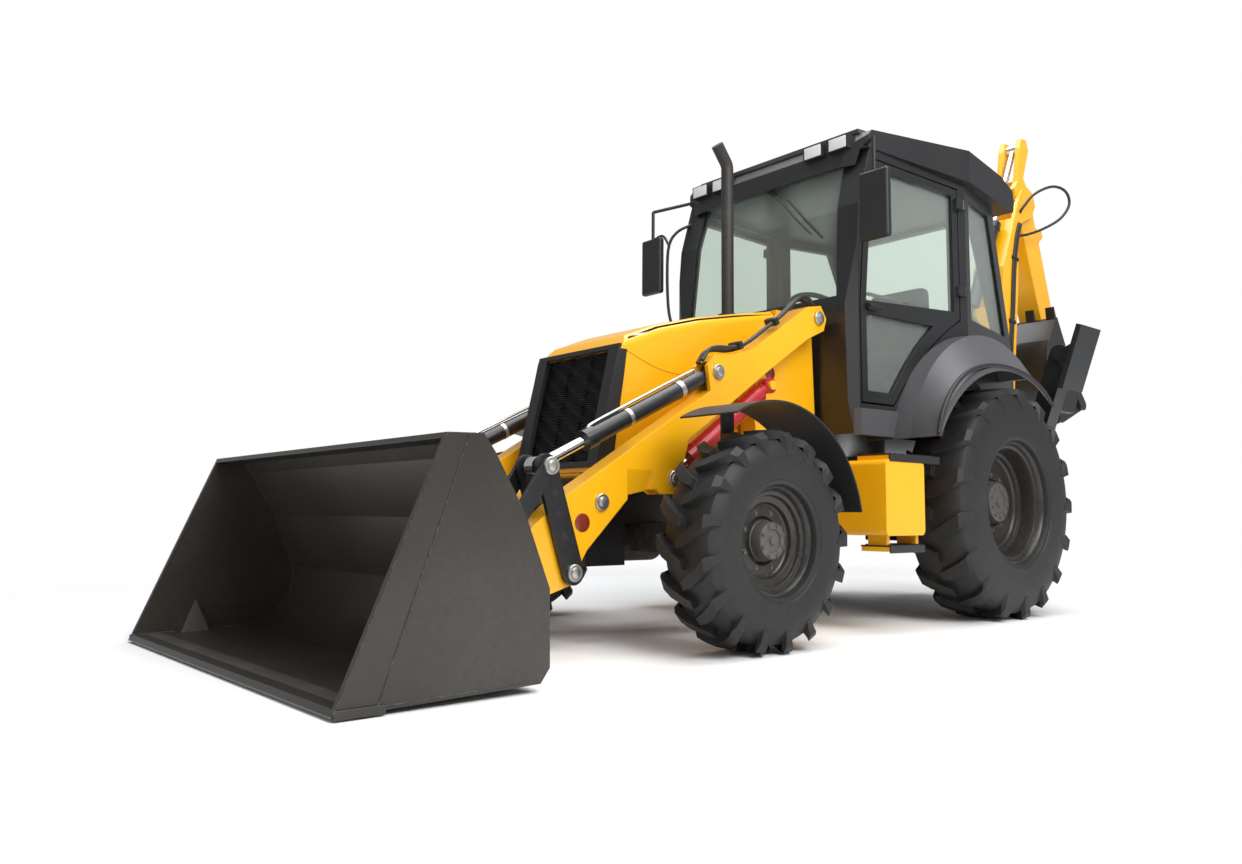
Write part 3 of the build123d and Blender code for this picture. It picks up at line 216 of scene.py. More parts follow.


# Edge colours: darker on yellow and red paint (worn paint); lighter on bucket, black paint and rims (wear
# plus painted edge highlight).
YELLOW = surface("yellow_paint", (0.90, 0.435, 0.004), 0.30, dust=0.06, tone=0.05, coat=0.35, edge=0.006,
                 wear_and_highlight=(0.62, 0.36, 0.03))
BUCKET = surface("bucket_paint", (0.028, 0.024, 0.019), 0.34, dust=0.04, tone=0.10, coat=0.1, edge=0.005,
                 wear_and_highlight=(0.16, 0.15, 0.14))
BLACK = surface("black_paint", (0.010, 0.010, 0.011), 0.34, dust=0.05, tone=0.10, coat=0.15,
                wear_and_highlight=(0.07, 0.07, 0.07))
BLACK_PLASTIC = surface("black_plastic", (0.012, 0.012, 0.013), 0.46, dust=0.06, tone=0.10,
                        grain=0.12, scale=420.0)
GREY_PLASTIC = surface("grey_plastic", (0.072, 0.072, 0.077), 0.42, dust=0.05, tone=0.05,
                       grain=0.08, scale=380.0)
RUBBER = surface("tyre_rubber", (0.0085, 0.0083, 0.0082), 0.56, dust=0.04, tone=0.14,
                 grain=0.18, scale=300.0)
HOSE = surface("hose_rubber", (0.013, 0.013, 0.014), 0.48, dust=0.12, tone=0.10,
               grain=0.10, scale=500.0, edge=0.001)
RIM = surface("rim_paint", (0.026, 0.024, 0.021), 0.34, metallic=0.2, dust=0.08, tone=0.08,
              wear_and_highlight=(0.14, 0.14, 0.13))
STEEL_DARK = surface("worn_steel", (0.10, 0.095, 0.09), 0.38, metallic=0.6, dust=0.15, tone=0.12)
HUB = surface("hub_casting", (0.085, 0.080, 0.072), 0.45, metallic=0.2, dust=0.10, tone=0.10,
              grain=0.14, scale=160.0)
IRON = surface("cast_iron", (0.022, 0.021, 0.020), 0.55, metallic=0.15, dust=0.25, tone=0.15,
               grain=0.25, scale=130.0)
CHROME = surface("rod_chrome", (0.80, 0.80, 0.80), 0.10, metallic=1.0, dust=0.04, tone=0.03,
                 grain=0.01, edge=0.001)
STEEL = surface("zinc_steel", (0.50, 0.49, 0.46), 0.32, metallic=0.9, dust=0.10, tone=0.10, edge=0.001)
RED = surface("red_paint", (0.42, 0.012, 0.016), 0.30, dust=0.10, tone=0.06, coat=0.3, wear_and_highlight=(0.2, 0.02, 0.02))
REFLECTOR = surface("reflector", (0.20, 0.022, 0.010), 0.16, dust=0.05, tone=0.05,
                    grain=0.4, scale=520.0, coat=0.6)
LENS = surface("lamp_lens", (0.74, 0.75, 0.76), 0.10, dust=0.04, tone=0.05, grain=0.35, scale=240.0, coat=0.8)
MIRROR = surface("mirror_glass", (0.75, 0.77, 0.78), 0.04, metallic=1.0, dust=0.05, tone=0.02, grain=0.0)
GLASS = window("window_glass", (0.87, 0.91, 0.88), 0.03)
FABRIC = cloth("seat_fabric", (0.020, 0.020, 0.022))


# Mesh making

def settle(name, bm, material, body, sharp=34):
    """Turns a finished bmesh into a piece that rides on a body."""
    bmesh.ops.remove_doubles(bm, verts=bm.verts, dist=1e-5)
    bmesh.ops.recalc_face_normals(bm, faces=bm.faces)
    mesh = bpy.data.meshes.new(name)
    bm.to_mesh(mesh)
    bm.free()
    piece = bpy.data.objects.new(name, mesh)
    scene.collection.objects.link(piece)
    mesh.materials.append(material)
    mesh.shade_smooth()
    mesh.set_sharp_from_angle(angle=math.radians(sharp))
    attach(piece, body)
    return piece


def round_off(bm, offset, segments=2, angle=30):
    """Rounds every edge sharper than the angle."""
    sharp = [e for e in bm.edges if len(e.link_faces) == 2 and e.calc_face_angle(0) > math.radians(angle)]
    bmesh.ops.bevel(bm, geom=sharp, offset=offset, segments=segments, affect="EDGES", profile=0.6,
                    clamp_overlap=True)


def turn(bm, profile, origin, axis, steps=24):
    """Sweeps (along, radius) points round an axis."""
    axis = Vector(axis).normalized()
    u = axis.orthogonal().normalized()
    v = axis.cross(u)
    rings = []
    for i in range(steps):
        a = 2 * math.pi * i / steps
        spoke = u * math.cos(a) + v * math.sin(a)
        rings.append([bm.verts.new(origin + axis * along + spoke * radius) for along, radius in profile])
    for i in range(steps):
        one, two = rings[i], rings[(i + 1) % steps]
        for k in range(len(profile) - 1):
            quad = (one[k], one[k + 1], two[k + 1], two[k])
            flat = [q for n, q in enumerate(quad) if q.co not in [p.co for p in quad[:n]]]
            if len(flat) > 2:
                bm.faces.new(flat)


def skin(bm, rows, closed=True):
    """Faces from row to row, with both ends capped; an open skin leaves its foot open."""
    count = len(rows[0])
    for one, two in zip(rows, rows[1:]):
        for k in range(count if closed else count - 1):
            n = (k + 1) % count
            bm.faces.new((one[k], one[n], two[n], two[k]))
    bm.faces.new(rows[0][::-1])
    bm.faces.new(rows[-1])


def block(bm, one, other):
    """An upright box between two opposite corners."""
    size = [abs(reach) for reach in other - one]
    move = Matrix.Translation((one + other) / 2) @ Matrix.Diagonal((*size, 1))
    bmesh.ops.create_cube(bm, size=1, matrix=move)


def prism(bm, near, far):
    """A solid between two matching outlines."""
    near = [bm.verts.new(p) for p in near]
    far = [bm.verts.new(p) for p in far]
    bm.faces.new(near)
    bm.faces.new(far[::-1])
    for i in range(len(near)):
        j = (i + 1) % len(near)
        bm.faces.new((near[i], near[j], far[j], far[i]))


def plate(bm, outline, y0, y1):
    """A side outline in (x, z) mm, given thickness across the machine."""
    prism(bm, [at(x, y0, z) for x, z in outline], [at(x, y1, z) for x, z in outline])


def flat_piece(bm, outline, z0, z1):
    """A plan outline in (x, y) mm, given height."""
    prism(bm, [at(x, y, z0) for x, y in outline], [at(x, y, z1) for x, y in outline])


def smooth_path(points, each=6):
    """Points along a smooth curve through the given places."""
    ends = [points[0] * 2 - points[1], *points, points[-1] * 2 - points[-2]]
    path = []
    for i in range(1, len(ends) - 2):
        p0, p1, p2, p3 = ends[i - 1:i + 3]
        for k in range(each):
            t = k / each
            path.append(0.5 * (2 * p1 + (p2 - p0) * t + (2 * p0 - 5 * p1 + 4 * p2 - p3) * t * t
                               + (3 * p1 - p0 - 3 * p2 + p3) * t ** 3))
    return [*path, points[-1]]


def run_tube(bm, points, radius, steps=10, each=6):
    """A round tube along a smooth path."""
    path = smooth_path(points, each)
    side = (path[1] - path[0]).orthogonal().normalized()
    rings = []
    for i, p in enumerate(path):
        ahead = (path[min(i + 1, len(path) - 1)] - path[max(i - 1, 0)]).normalized()
        side = (side - ahead * side.dot(ahead)).normalized()
        over = ahead.cross(side)
        rings.append([bm.verts.new(p + (side * math.cos(a) + over * math.sin(a)) * radius)
                      for a in (2 * math.pi * k / steps for k in range(steps))])
    skin(bm, rings)


def bolt(bm, place, axis, radius, steps=6):
    """A bolt head on a washer."""
    tall = radius * 0.75
    washer = tall * 0.25
    turn(bm, [(0, 0), (0, radius * 1.5), (washer, radius * 1.5), (washer, radius * 0.9)], place, axis, 14)
    turn(bm, [(washer, radius), (tall, radius), (tall * 1.15, radius * 0.85), (tall * 1.15, 0)],
         place, axis, steps)


def pin_end(bm, place, axis, radius):
    """A pin's shouldered end cap."""
    turn(bm, [(0, radius * 1.25), (0.010, radius * 1.25), (0.013, radius * 1.15), (0.013, radius * 0.8),
              (0.019, radius * 0.75), (0.021, radius * 0.6), (0.021, 0)], place, axis, 28)


def hose_clamp(bm, place, lean, size):
    """A clamp block that leans with its hoses, by an angle in degrees."""
    turned = Matrix.Translation(place) @ Matrix.Rotation(math.radians(-lean), 4, "Y")
    bmesh.ops.create_cube(bm, size=1, matrix=turned @ Matrix.Diagonal((*size, 1)))


# Wheels, in metres, with a lug's half width as an angle

FRONT_RIM = 0.236
REAR_RIM = 0.355
LUGS = 17
LUG_TALL = 0.036
LUG_HALF_ANGLE = 0.060
LUG_SWEEP = 0.110
LUG_TIP = 0.087


def first_lug(node, middle, side, radius, half):
    """The angle of one lug in the outer row, read from its tip at the shoulder."""
    for v in nodes[node].data.vertices:
        out = v.co - middle
        if math.hypot(out.x, out.z) > radius - 0.0015 and side * out.y > 0.5 * half:
            return math.atan2(out.z, out.x) - LUG_TIP / radius
    raise ValueError(f"no lug tip on {node}")


def add_lug(bm, middle, hand, first, sweep, stations):
    """One slanting lug, through its stations from the shoulder to the middle of the tread."""
    rows = []
    for y, top, deep, wide, along in stations:
        mid = first - sweep * along
        reach = LUG_HALF_ANGLE * wide
        foot = y - 0.022 if along < 0.1 else y
        row = []
        for shift, r, y_at in ((-reach * 1.25, top - deep, foot), (-reach, top, y),
                               (reach, top, y), (reach * 1.25, top - deep, foot)):
            a = mid + shift
            row.append(bm.verts.new(middle + Vector((r * math.cos(a), hand * y_at, r * math.sin(a)))))
        rows.append(row)
    skin(bm, rows, closed=False)


def make_tyre(side_name, side, axle, radius, half, rim):
    """A tyre with two rows of lugs, in step with the modelled tyre's."""
    node = f"tyre_{axle}_{side_name}"
    body = f"wheel_{axle}_{side_name}"
    low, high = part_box(node)
    middle = (low + high) / 2
    sweep = LUG_SWEEP / radius
    begin = first_lug(node, middle, side, radius, half) + sweep / 2
    depth = radius - rim
    floor = radius - LUG_TALL
    half_profile = [
        (half - 0.040, rim + 0.004), (half - 0.018, rim + 0.012), (half - 0.012, rim + 0.030),
        (half - 0.006, rim + 0.034), (half - 0.003, rim + 0.30 * depth), (half - 0.001, rim + 0.45 * depth),
        (half - 0.006, rim + 0.62 * depth), (half - 0.018, floor - 0.040), (half - 0.032, floor - 0.016),
        (half - 0.056, floor - 0.003), (half * 0.35, floor + 0.002)]
    whole = [*half_profile, (0, floor + 0.003), *[(-y, r) for y, r in half_profile[::-1]]]
    # Each station: place across, top radius, depth, share of the width, share of the sweep
    stations = [
        (half - 0.001, rim + 0.60 * depth, 0.014, 0.55, 0.00),
        (half - 0.004, radius - 0.034, 0.030, 0.85, 0.05),
        (half - 0.026, radius - 0.006, 0.036, 1.00, 0.14),
        (half * 0.62, radius - 0.0005, 0.046, 1.00, 0.45),
        (half * 0.25, radius, 0.046, 0.92, 0.80),
        (-half * 0.06, radius, 0.046, 0.70, 1.00)]
    bm = bmesh.new()
    turn(bm, [*whole, whole[0]], middle, (0, 1, 0), 96)
    for hand in (1, -1):
        for i in range(LUGS):
            first = begin + 2 * math.pi * (i + (0.5 if hand != side else 0.0)) / LUGS
            add_lug(bm, middle, hand, first, sweep, stations)
    piece = settle(f"treaded_tyre_{axle}_{side_name}", bm, RUBBER, body, 26)
    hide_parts(node)


def make_rim(side_name, side, axle, rim, width, disc, hub_radius, hub_out, studs):
    """A stepped rim and its bolted hub."""
    node = f"rim_{axle}_{side_name}"
    body = f"wheel_{axle}_{side_name}"
    low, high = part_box(node)
    middle = (low + high) / 2
    edge = min(width, (high.y - low.y) / 2)
    dish = [
        (-edge, rim + 0.012), (-edge + 0.008, rim + 0.016), (-edge + 0.016, rim), (-edge * 0.4, rim - 0.006),
        (edge * 0.4, rim - 0.006), (edge - 0.016, rim), (edge - 0.008, rim + 0.016), (edge, rim + 0.012),
        (edge, rim - 0.004), (edge - 0.012, rim - 0.014), (edge - 0.030, rim - 0.018),
        (edge - 0.034, rim - 0.034), (edge - 0.052, rim - 0.040), (disc + 0.034, rim - 0.048),
        (disc + 0.028, rim - 0.066), (disc + 0.010, rim - 0.072), (disc, rim - 0.084),
        (disc, hub_radius + 0.060), (disc + 0.006, hub_radius + 0.052), (disc + 0.006, hub_radius + 0.010),
        (disc - 0.010, hub_radius - 0.004), (disc - 0.014, hub_radius - 0.004), (disc - 0.014, rim - 0.030),
        (-edge * 0.35, rim - 0.024), (-edge * 0.6, rim - 0.012), (-edge, rim - 0.012), (-edge, rim + 0.012)]
    bm = bmesh.new()
    turn(bm, dish, middle, (0, side, 0), 72)
    piece = settle(f"stepped_rim_{axle}_{side_name}", bm, RIM, body, 28)
    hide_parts(node)
    hub = [
        (disc - 0.020, hub_radius - 0.006), (disc + 0.012, hub_radius - 0.006),
        (disc + 0.016, hub_radius - 0.010), (hub_out - 0.012, hub_radius - 0.016),
        (hub_out - 0.004, hub_radius - 0.020), (hub_out, hub_radius - 0.028), (hub_out, hub_radius * 0.52),
        (hub_out - 0.008, hub_radius * 0.50), (hub_out - 0.008, hub_radius * 0.20),
        (hub_out + 0.002, hub_radius * 0.17), (hub_out + 0.002, 0)]
    bm = bmesh.new()
    turn(bm, hub, middle, (0, side, 0), 48)
    for i in range(studs):
        a = 2 * math.pi * (i + 0.5) / studs
        spoke = Vector((math.cos(a), 0, math.sin(a)))
        for reach, face, size in ((hub_radius * 0.68, hub_out, 0.008),
                                  (hub_radius + 0.030, disc + 0.005, 0.011)):
            bolt(bm, middle + spoke * reach + Vector((0, side * face, 0)), (0, side, 0), size)
    settle(f"hub_{axle}_{side_name}", bm, HUB, body, 28)


for side_name, side in SIDES:
    make_tyre(side_name, side, "front", radius=0.490, half=0.160, rim=FRONT_RIM)
    make_tyre(side_name, side, "rear", radius=0.684, half=0.200, rim=REAR_RIM)
    make_rim(side_name, side, "front", FRONT_RIM, width=0.118, disc=0.030,
             hub_radius=0.100, hub_out=0.098, studs=8)
    make_rim(side_name, side, "rear", REAR_RIM, width=0.158, disc=0.000,
             hub_radius=0.135, hub_out=0.060, studs=10)


# Hood and grille

NOSE = [(2605, 812), (2530, 1145), (2470, 1390)]
GRILLE_HALF = 262
GRILLE_HEIGHTS = (852, 1145, 1396)
SURROUND_HALF = 332
SURROUND_HEIGHTS = (828, 1000, 1145, 1280, 1402)
SLATS = 46
SLAT_LOW, SLAT_HIGH = 856, 1394
SLAT_STEPS = 40
SLAT_SECTION = ((0, -2.6), (4, 0), (0, 2.6), (-10, 0))


def nose_x(z):
    """The nose's front face at a height."""
    for (x0, z0), (x1, z1) in zip(NOSE, NOSE[1:]):
        if z <= z1:
            return x0 + (x1 - x0) * (z - z0) / (z1 - z0)
    return NOSE[-1][0]


def nose_strip(heights, back, front):
    """A side outline that follows the nose, between two distances from its face."""
    return [(nose_x(z) + back, z) for z in heights] + [(nose_x(z) + front, z) for z in heights[::-1]]


bm = bmesh.new()
for i in range(SLATS):
    z = SLAT_LOW + (SLAT_HIGH - SLAT_LOW) * i / (SLATS - 1)
    rows = []
    for k in range(SLAT_STEPS + 1):
        y = -GRILLE_HALF + 2 * GRILLE_HALF * k / SLAT_STEPS
        wave = 3.2 * math.sin(2 * math.pi * k / 10 + i * 0.9)
        x = nose_x(z) - 14 - 8 * (y / GRILLE_HALF) ** 2
        rows.append([bm.verts.new(at(x + dx, y, z + wave + dz)) for dx, dz in SLAT_SECTION])
    skin(bm, rows)
for y in (-GRILLE_HALF, -88, 88, GRILLE_HALF):
    plate(bm, nose_strip(GRILLE_HEIGHTS, -40, -22), y - 5, y + 5)
plate(bm, nose_strip(GRILLE_HEIGHTS, -60, -42), -GRILLE_HALF, GRILLE_HALF)
grille = settle("grille_slats", bm, BLACK_PLASTIC, "hood", 50)
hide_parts("grille")

bm = bmesh.new()
for side in (1, -1):
    plate(bm, nose_strip(SURROUND_HEIGHTS, -34, 7), side * 258, side * SURROUND_HALF)
    plate(bm, [(nose_x(z) - 95 + (z - 828) * 0.08, z) for z in SURROUND_HEIGHTS]
          + [(nose_x(z) + 6, z) for z in SURROUND_HEIGHTS[::-1]], side * 326, side * 333)
for outline in ([(2462, 1400), (2474, 1404), (2468, 1428), (2452, 1426)],
                [(2590, 822), (2610, 824), (2602, 852), (2584, 850)]):
    plate(bm, outline, -SURROUND_HALF, SURROUND_HALF)
round_off(bm, 0.004)
settle("grille_surround", bm, BLACK_PLASTIC, "hood", 40)

HOOD_SIDE = 325.5
CREASE = ((2424, 1400), (2200, 1330), (1960, 1318), (1740, 1372), (1560, 1490), (1440, 1620), (1370, 1690))
bm = bmesh.new()
for side in (1, -1):
    run_tube(bm, [at(x, side * HOOD_SIDE, z) for x, z in CREASE], 0.0028, 6, 8)
settle("hood_side_creases", bm, YELLOW, "hood")


# Loader bucket's edge, seams and corner gussets

BUCKET_HALF = 1118
END_SEAM_LINE = 1121
END_SEAMS = (((3768, 862), (3915, 450), (4066, 22)), ((4200, 24), (3800, 33), (3480, 42)))
BACK_SEAM_LINE = 500
BACK_SEAM = ((3446, 150), (3452, 350), (3548, 592))
EDGE_SECTION = ((4206, 10), (4206, 16), (4140, 38), (4080, 40), (4080, 14), (4140, 8))

bm = bmesh.new()
plate(bm, EDGE_SECTION, -BUCKET_HALF, BUCKET_HALF)
round_off(bm, 0.002)
settle("bucket_cutting_edge", bm, STEEL_DARK, "loader_bucket")

bm = bmesh.new()
for side in (1, -1):
    for seam in END_SEAMS:
        run_tube(bm, [at(x, side * END_SEAM_LINE, z) for x, z in seam], 0.0030, 6, 4)
    block(bm, at(4040, side * BUCKET_HALF, 6), at(4200, side * (BUCKET_HALF + 12), 34))
    run_tube(bm, [at(x, side * BACK_SEAM_LINE, z) for x, z in BACK_SEAM], 0.0040, 6, 4)
settle("bucket_seams", bm, BUCKET, "loader_bucket")

bm = bmesh.new()
for side in (1, -1):
    near, far = side * 1098, side * 1010
    top = [bm.verts.new(p) for p in (at(4010, near, 40), at(3880, near, 40), at(3925, near, 190))]
    foot = [bm.verts.new(p) for p in (at(4010, far, 40), at(3880, far, 40))]
    bm.faces.new(top)
    bm.faces.new((top[0], foot[0], top[2]))
    bm.faces.new((top[1], top[2], foot[1]))
    bm.faces.new((top[2], foot[0], foot[1]))
    bm.faces.new((top[0], top[1], foot[1], foot[0]))
settle("bucket_corner_gussets", bm, BUCKET, "loader_bucket")


# Loader fittings, with pins given as (x, z)

ARM_FACE = 570
LEVER_FACE = 596
LINK_FACE = 622
TILT_PIN = (2033, 1304)
LEVER_FOOT = (2931, 356)
LEVER_TOP = (3077, 801)
ARM_HOSE_LINE = 520
TILT_LINE = 515
PIN_RADIUS = 0.030

PIN_CAPS = (
    ("chassis", "tower_pin_caps", 574, ((1240, 1683),)),
    ("loader_arms", "arm_pin_caps", ARM_FACE, (TILT_PIN, (2330, 770), (2765, 655))),
    ("loader_levers", "lever_pin_caps", LEVER_FACE, (LEVER_FOOT,)),
    ("bucket_links", "link_pin_caps", LINK_FACE, (LEVER_TOP,)),
    ("loader_bucket", "bucket_pin_caps", LINK_FACE, ((3388, 345),)),
)
for body, name, face, pins in PIN_CAPS:
    bm = bmesh.new()
    for side in (1, -1):
        for x, z in pins:
            pin_end(bm, at(x, side * face, z), (0, side, 0), PIN_RADIUS)
    settle(name, bm, STEEL, body)

bm = bmesh.new()
for side in (1, -1):
    foot, top = [at(x, side * LEVER_FACE, z) for x, z in (LEVER_FOOT, LEVER_TOP)]
    for step in (0.35, 0.55, 0.75):
        turn(bm, [(0, 0.017), (0.0012, 0.017), (0.0012, 0.0)], foot.lerp(top, step), (0, side, 0), 20)
settle("lever_holes", bm, HOSE, "loader_levers")

ARM_HOSE = ((1232, 1752), (1290, 1790), (1370, 1772), (1500, 1668), (1640, 1572), (1790, 1476), (1900, 1440),
            (1990, 1432), (2060, 1412), (2110, 1352))
bm = bmesh.new()
for side in (1, -1):
    for lane in (-1, 1):
        y = side * (ARM_HOSE_LINE + 17 * lane)
        run_tube(bm, [at(x, y, z + 6 * lane) for x, z in ARM_HOSE], 0.0105, 10, 6)
settle("arm_hoses", bm, HOSE, "loader_arms")

bm = bmesh.new()
for side in (1, -1):
    for x, z, lean in ((1570, 1625, -33), (1850, 1462, -22)):
        hose_clamp(bm, at(x, side * ARM_HOSE_LINE, z), lean, (0.030, 0.078, 0.044))
round_off(bm, 0.006)
settle("hose_clamps", bm, BLACK, "loader_arms")

TILT_FEED = ((0.10, 0.052), (0.3, 0.054), (0.6, 0.054), (0.80, 0.052), (0.84, 0.042))
bm = bmesh.new()
for side in (1, -1):
    start, end = [at(x, side * TILT_LINE, z) for x, z in (TILT_PIN, LEVER_TOP)]
    way = (end - start).normalized()
    over = (Vector((0, 0, 1)) - way * way.z).normalized()
    for reach, radius, tall in ((0.24, 0.0445, 0.030), (0.60, 0.0440, 0.022)):
        band = [(-tall / 2, 0.040), (-tall / 2, radius), (tall / 2, radius), (tall / 2, 0.040)]
        turn(bm, band, start + way * reach, way, 32)
    run_tube(bm, [start + way * reach + over * lift for reach, lift in TILT_FEED], 0.007, 8)
settle("tilt_barrel_bands", bm, STEEL, "tilt_barrels")

REFLECTORS = (
    ("loader_arms", "arm_reflectors", (2870, ARM_FACE, 566),
     [(0, 0.0), (0, 0.040), (0.002, 0.040), (0.0032, 0.036), (0.0032, 0)]),
    ("chassis", "tower_reflectors", (1508, 450, 1364),
     [(0, 0.0), (0, 0.036), (0.005, 0.036), (0.008, 0.030), (0.008, 0)]),
)
for body, name, (x, y, z), profile in REFLECTORS:
    bm = bmesh.new()
    for side in (1, -1):
        turn(bm, profile, at(x, side * y, z), (0, side, 0), 32)
    settle(name, bm, REFLECTOR, body)


# Hoses on the boom, two clipped along its side and one in a free loop behind its tip

BOOM_SIDE = 130
BOOM_HOSE = ((-1690, 1150), (-1712, 1500), (-1738, 1900), (-1790, 2250), (-1835, 2600), (-1895, 2850),
             (-1955, 2990))
LOOP = [at(x, y, z) for x, y, z in (
    (-1990, BOOM_SIDE, 3085), (-1998, 160, 3130), (-2060, 226, 3235), (-2200, 306, 3310), (-2330, 356, 3290),
    (-2385, 362, 3190), (-2330, 312, 3070), (-2190, 230, 2970), (-2040, 160, 2905), (-1935, BOOM_SIDE, 2880))]

bm = bmesh.new()
for lane in (0, 1):
    run_tube(bm, [at(x - 34 * lane, BOOM_SIDE + 8, z) for x, z in BOOM_HOSE], 0.0105, 10)
settle("boom_side_hoses", bm, HOSE, "boom")

bm = bmesh.new()
for x, z, lean in ((-1731, 1520, 4), (-1790, 2150, 8), (-1870, 2680, 14)):
    hose_clamp(bm, at(x, BOOM_SIDE + 9, z), lean, (0.084, 0.026, 0.030))
round_off(bm, 0.005)
settle("boom_hose_clamps", bm, BLACK, "boom")

bm = bmesh.new()
run_tube(bm, LOOP, 0.011, 12, 8)
loop_hose = settle("boom_loop_hose", bm, HOSE, "boom")


# Cab fittings

bm = bmesh.new()
for y in (-560, -380, 380, 560):
    block(bm, at(1024, y - 60, 2706), at(1034, y + 60, 2774))
for y in (-520, 520):
    block(bm, at(-819, y - 50, 2738), at(-811, y + 50, 2812))
round_off(bm, 0.004)
settle("lamp_lenses", bm, LENS, "chassis")

bm = bmesh.new()
for side in (1, -1):
    block(bm, at(1124, side * 812, 2096), at(1127, side * 973, 2444))
settle("mirror_faces", bm, MIRROR, "chassis")

MIRROR_STAY = ((968, -690, 2560), (1060, -742, 2500), (1112, -772, 2400), (1124, -776, 2200),
               (1122, -764, 1960), (1112, -730, 1840), (1096, -690, 1805))
MIRROR_BRANCH = ((1112, -772, 2400), (1130, -800, 2462), (1130, -840, 2476), (1130, -890, 2466))
bm = bmesh.new()
run_tube(bm, [at(*place) for place in MIRROR_STAY], 0.010, 10)
run_tube(bm, [at(*place) for place in MIRROR_BRANCH], 0.009, 10)
settle("right_mirror_stay", bm, BLACK, "chassis")

SILL = ((1092, 688), (1078, 732), (740, 748), (740, 715), (1050, 700))
bm = bmesh.new()
for side in (1, -1):
    flat_piece(bm, [(x, side * y) for x, y in SILL], 1040, 1188)
round_off(bm, 0.008)
settle("door_sills", bm, GREY_PLASTIC, "chassis")

FENDER_EDGE = 1058
FENDER_LIP = ((846, 1040), (800, 1160), (700, 1290), (540, 1400), (320, 1464), (60, 1478), (-180, 1446),
              (-360, 1378), (-474, 1294))
bm = bmesh.new()
for side in (1, -1):
    run_tube(bm, [at(x, side * FENDER_EDGE, z) for x, z in FENDER_LIP], 0.013, 10, 5)
settle("fender_lips", bm, BLACK_PLASTIC, "chassis")

# Step treads, each as its ranges in x, y and z
TREADS = ((758, 1219, 796, 1002, 914, 921), (928, 1237, 826, 1007, 444, 451))
TEETH = 12
bm = bmesh.new()
for side in (1, -1):
    for x0, x1, y0, y1, z0, z1 in TREADS:
        edge = [(x0 + (x1 - x0) * k / (2 * TEETH), side * (y1 if k % 2 else y1 - 9))
                for k in range(2 * TEETH + 1)]
        flat_piece(bm, [(x0, side * y0), *edge, (x1, side * y0)], z0, z1)
        for k in range(1, TEETH):
            x = x0 + (x1 - x0) * k / TEETH
            block(bm, at(x - 3, side * (y0 + 12), z1), at(x + 3, side * (y1 - 16), z1 + 5))
    block(bm, at(756, side * 996, 880), at(1222, side * 1004, 921))
    block(bm, at(926, side * 1003, 412), at(1239, side * 1009, 451))
settle("step_treads", bm, BLACK, "chassis")


def screen_x(z):
    """The windscreen's outer face at a height."""
    if z < 2352:
        return 1105 - 55 * (z - 1777) / 575
    return 1050 - 105 * (z - 2352) / 338


WIPER_ARM = ((20, 2600), (150, 2480), (290, 2340), (400, 2230))
WIPER_BLADE = ((180, 2500), (330, 2350), (480, 2190))
bm = bmesh.new()
run_tube(bm, [at(screen_x(z) + 16, y, z) for y, z in WIPER_ARM], 0.006, 8)
run_tube(bm, [at(screen_x(z) + 9, y, z) for y, z in WIPER_BLADE], 0.0075, 8)
turn(bm, [(-0.02, 0.024), (0.012, 0.024), (0.018, 0.016), (0.018, 0)], at(screen_x(2600) + 4, 20, 2600),
     (1, 0, 0.3), 20)
settle("windscreen_wiper", bm, BLACK_PLASTIC, "chassis")

for side_name, side in SIDES:
    bm = bmesh.new()
    block(bm, at(930, side * 722, 1745), at(1000, side * 742, 1785))
    block(bm, at(880, side * 738, 1755), at(1000, side * 752, 1775))
    round_off(bm, 0.005)
    run_tube(bm, [at(560, side * 700, 1845), at(700, side * 690, 1850), at(930, side * 680, 1852)], 0.011, 10)
    settle(f"door_handles_{side_name}", bm, BLACK_PLASTIC, f"door_{side_name}")

# A lighter grey sheet laid on the black roof's top: painted highlight where the light falls on the roof.
ROOF_HIGHLIGHT_PANEL = ((930, 2806), (940, 2830), (0, 2905), (-560, 2898), (-765, 2850), (-770, 2835), (-560, 2884),
              (0, 2892))
bm = bmesh.new()
plate(bm, ROOF_HIGHLIGHT_PANEL, -640, 640)
round_off(bm, 0.008)
settle("roof_top_highlight_panel", bm, GREY_PLASTIC, "chassis")


def cushion(centre, size, crown):
    """A crowned cushion with soft corners."""
    bm = bmesh.new()
    bmesh.ops.create_cube(bm, size=1, matrix=Matrix.Translation(centre) @ Matrix.Diagonal((*size, 1)))
    bmesh.ops.subdivide_edges(bm, edges=bm.edges, cuts=7, use_grid_fill=True)
    thin = size.to_tuple().index(min(size))
    wide = [i for i in range(3) if i != thin]
    for v in bm.verts:
        p = Vector([(v.co[i] - centre[i]) / (size[i] / 2) for i in range(3)])
        swell = (1 - p[wide[0]] ** 4) * (1 - p[wide[1]] ** 4)
        v.co[thin] += crown * swell * (1 if p[thin] > 0 else -0.3) * abs(p[thin])
        for i in wide:
            v.co[i] = centre[i] + (size[i] / 2) * p[i] * (1 - 0.07 * abs(p[thin]) ** 3)
    return bm


for name, centre, size in (("seat_cushion", at(-150, 0, 1630), Vector((0.48, 0.48, 0.11))),
                           ("seat_back", at(-420, 0, 1910), Vector((0.11, 0.44, 0.56)))):
    piece = settle(name, cushion(centre, size, 0.016), FABRIC, "chassis", 60)
    soften = piece.modifiers.new("soft_form", "SUBSURF")
    soften.levels = soften.render_levels = 1
    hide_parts("operator_seat")


# Finish of the modelled parts

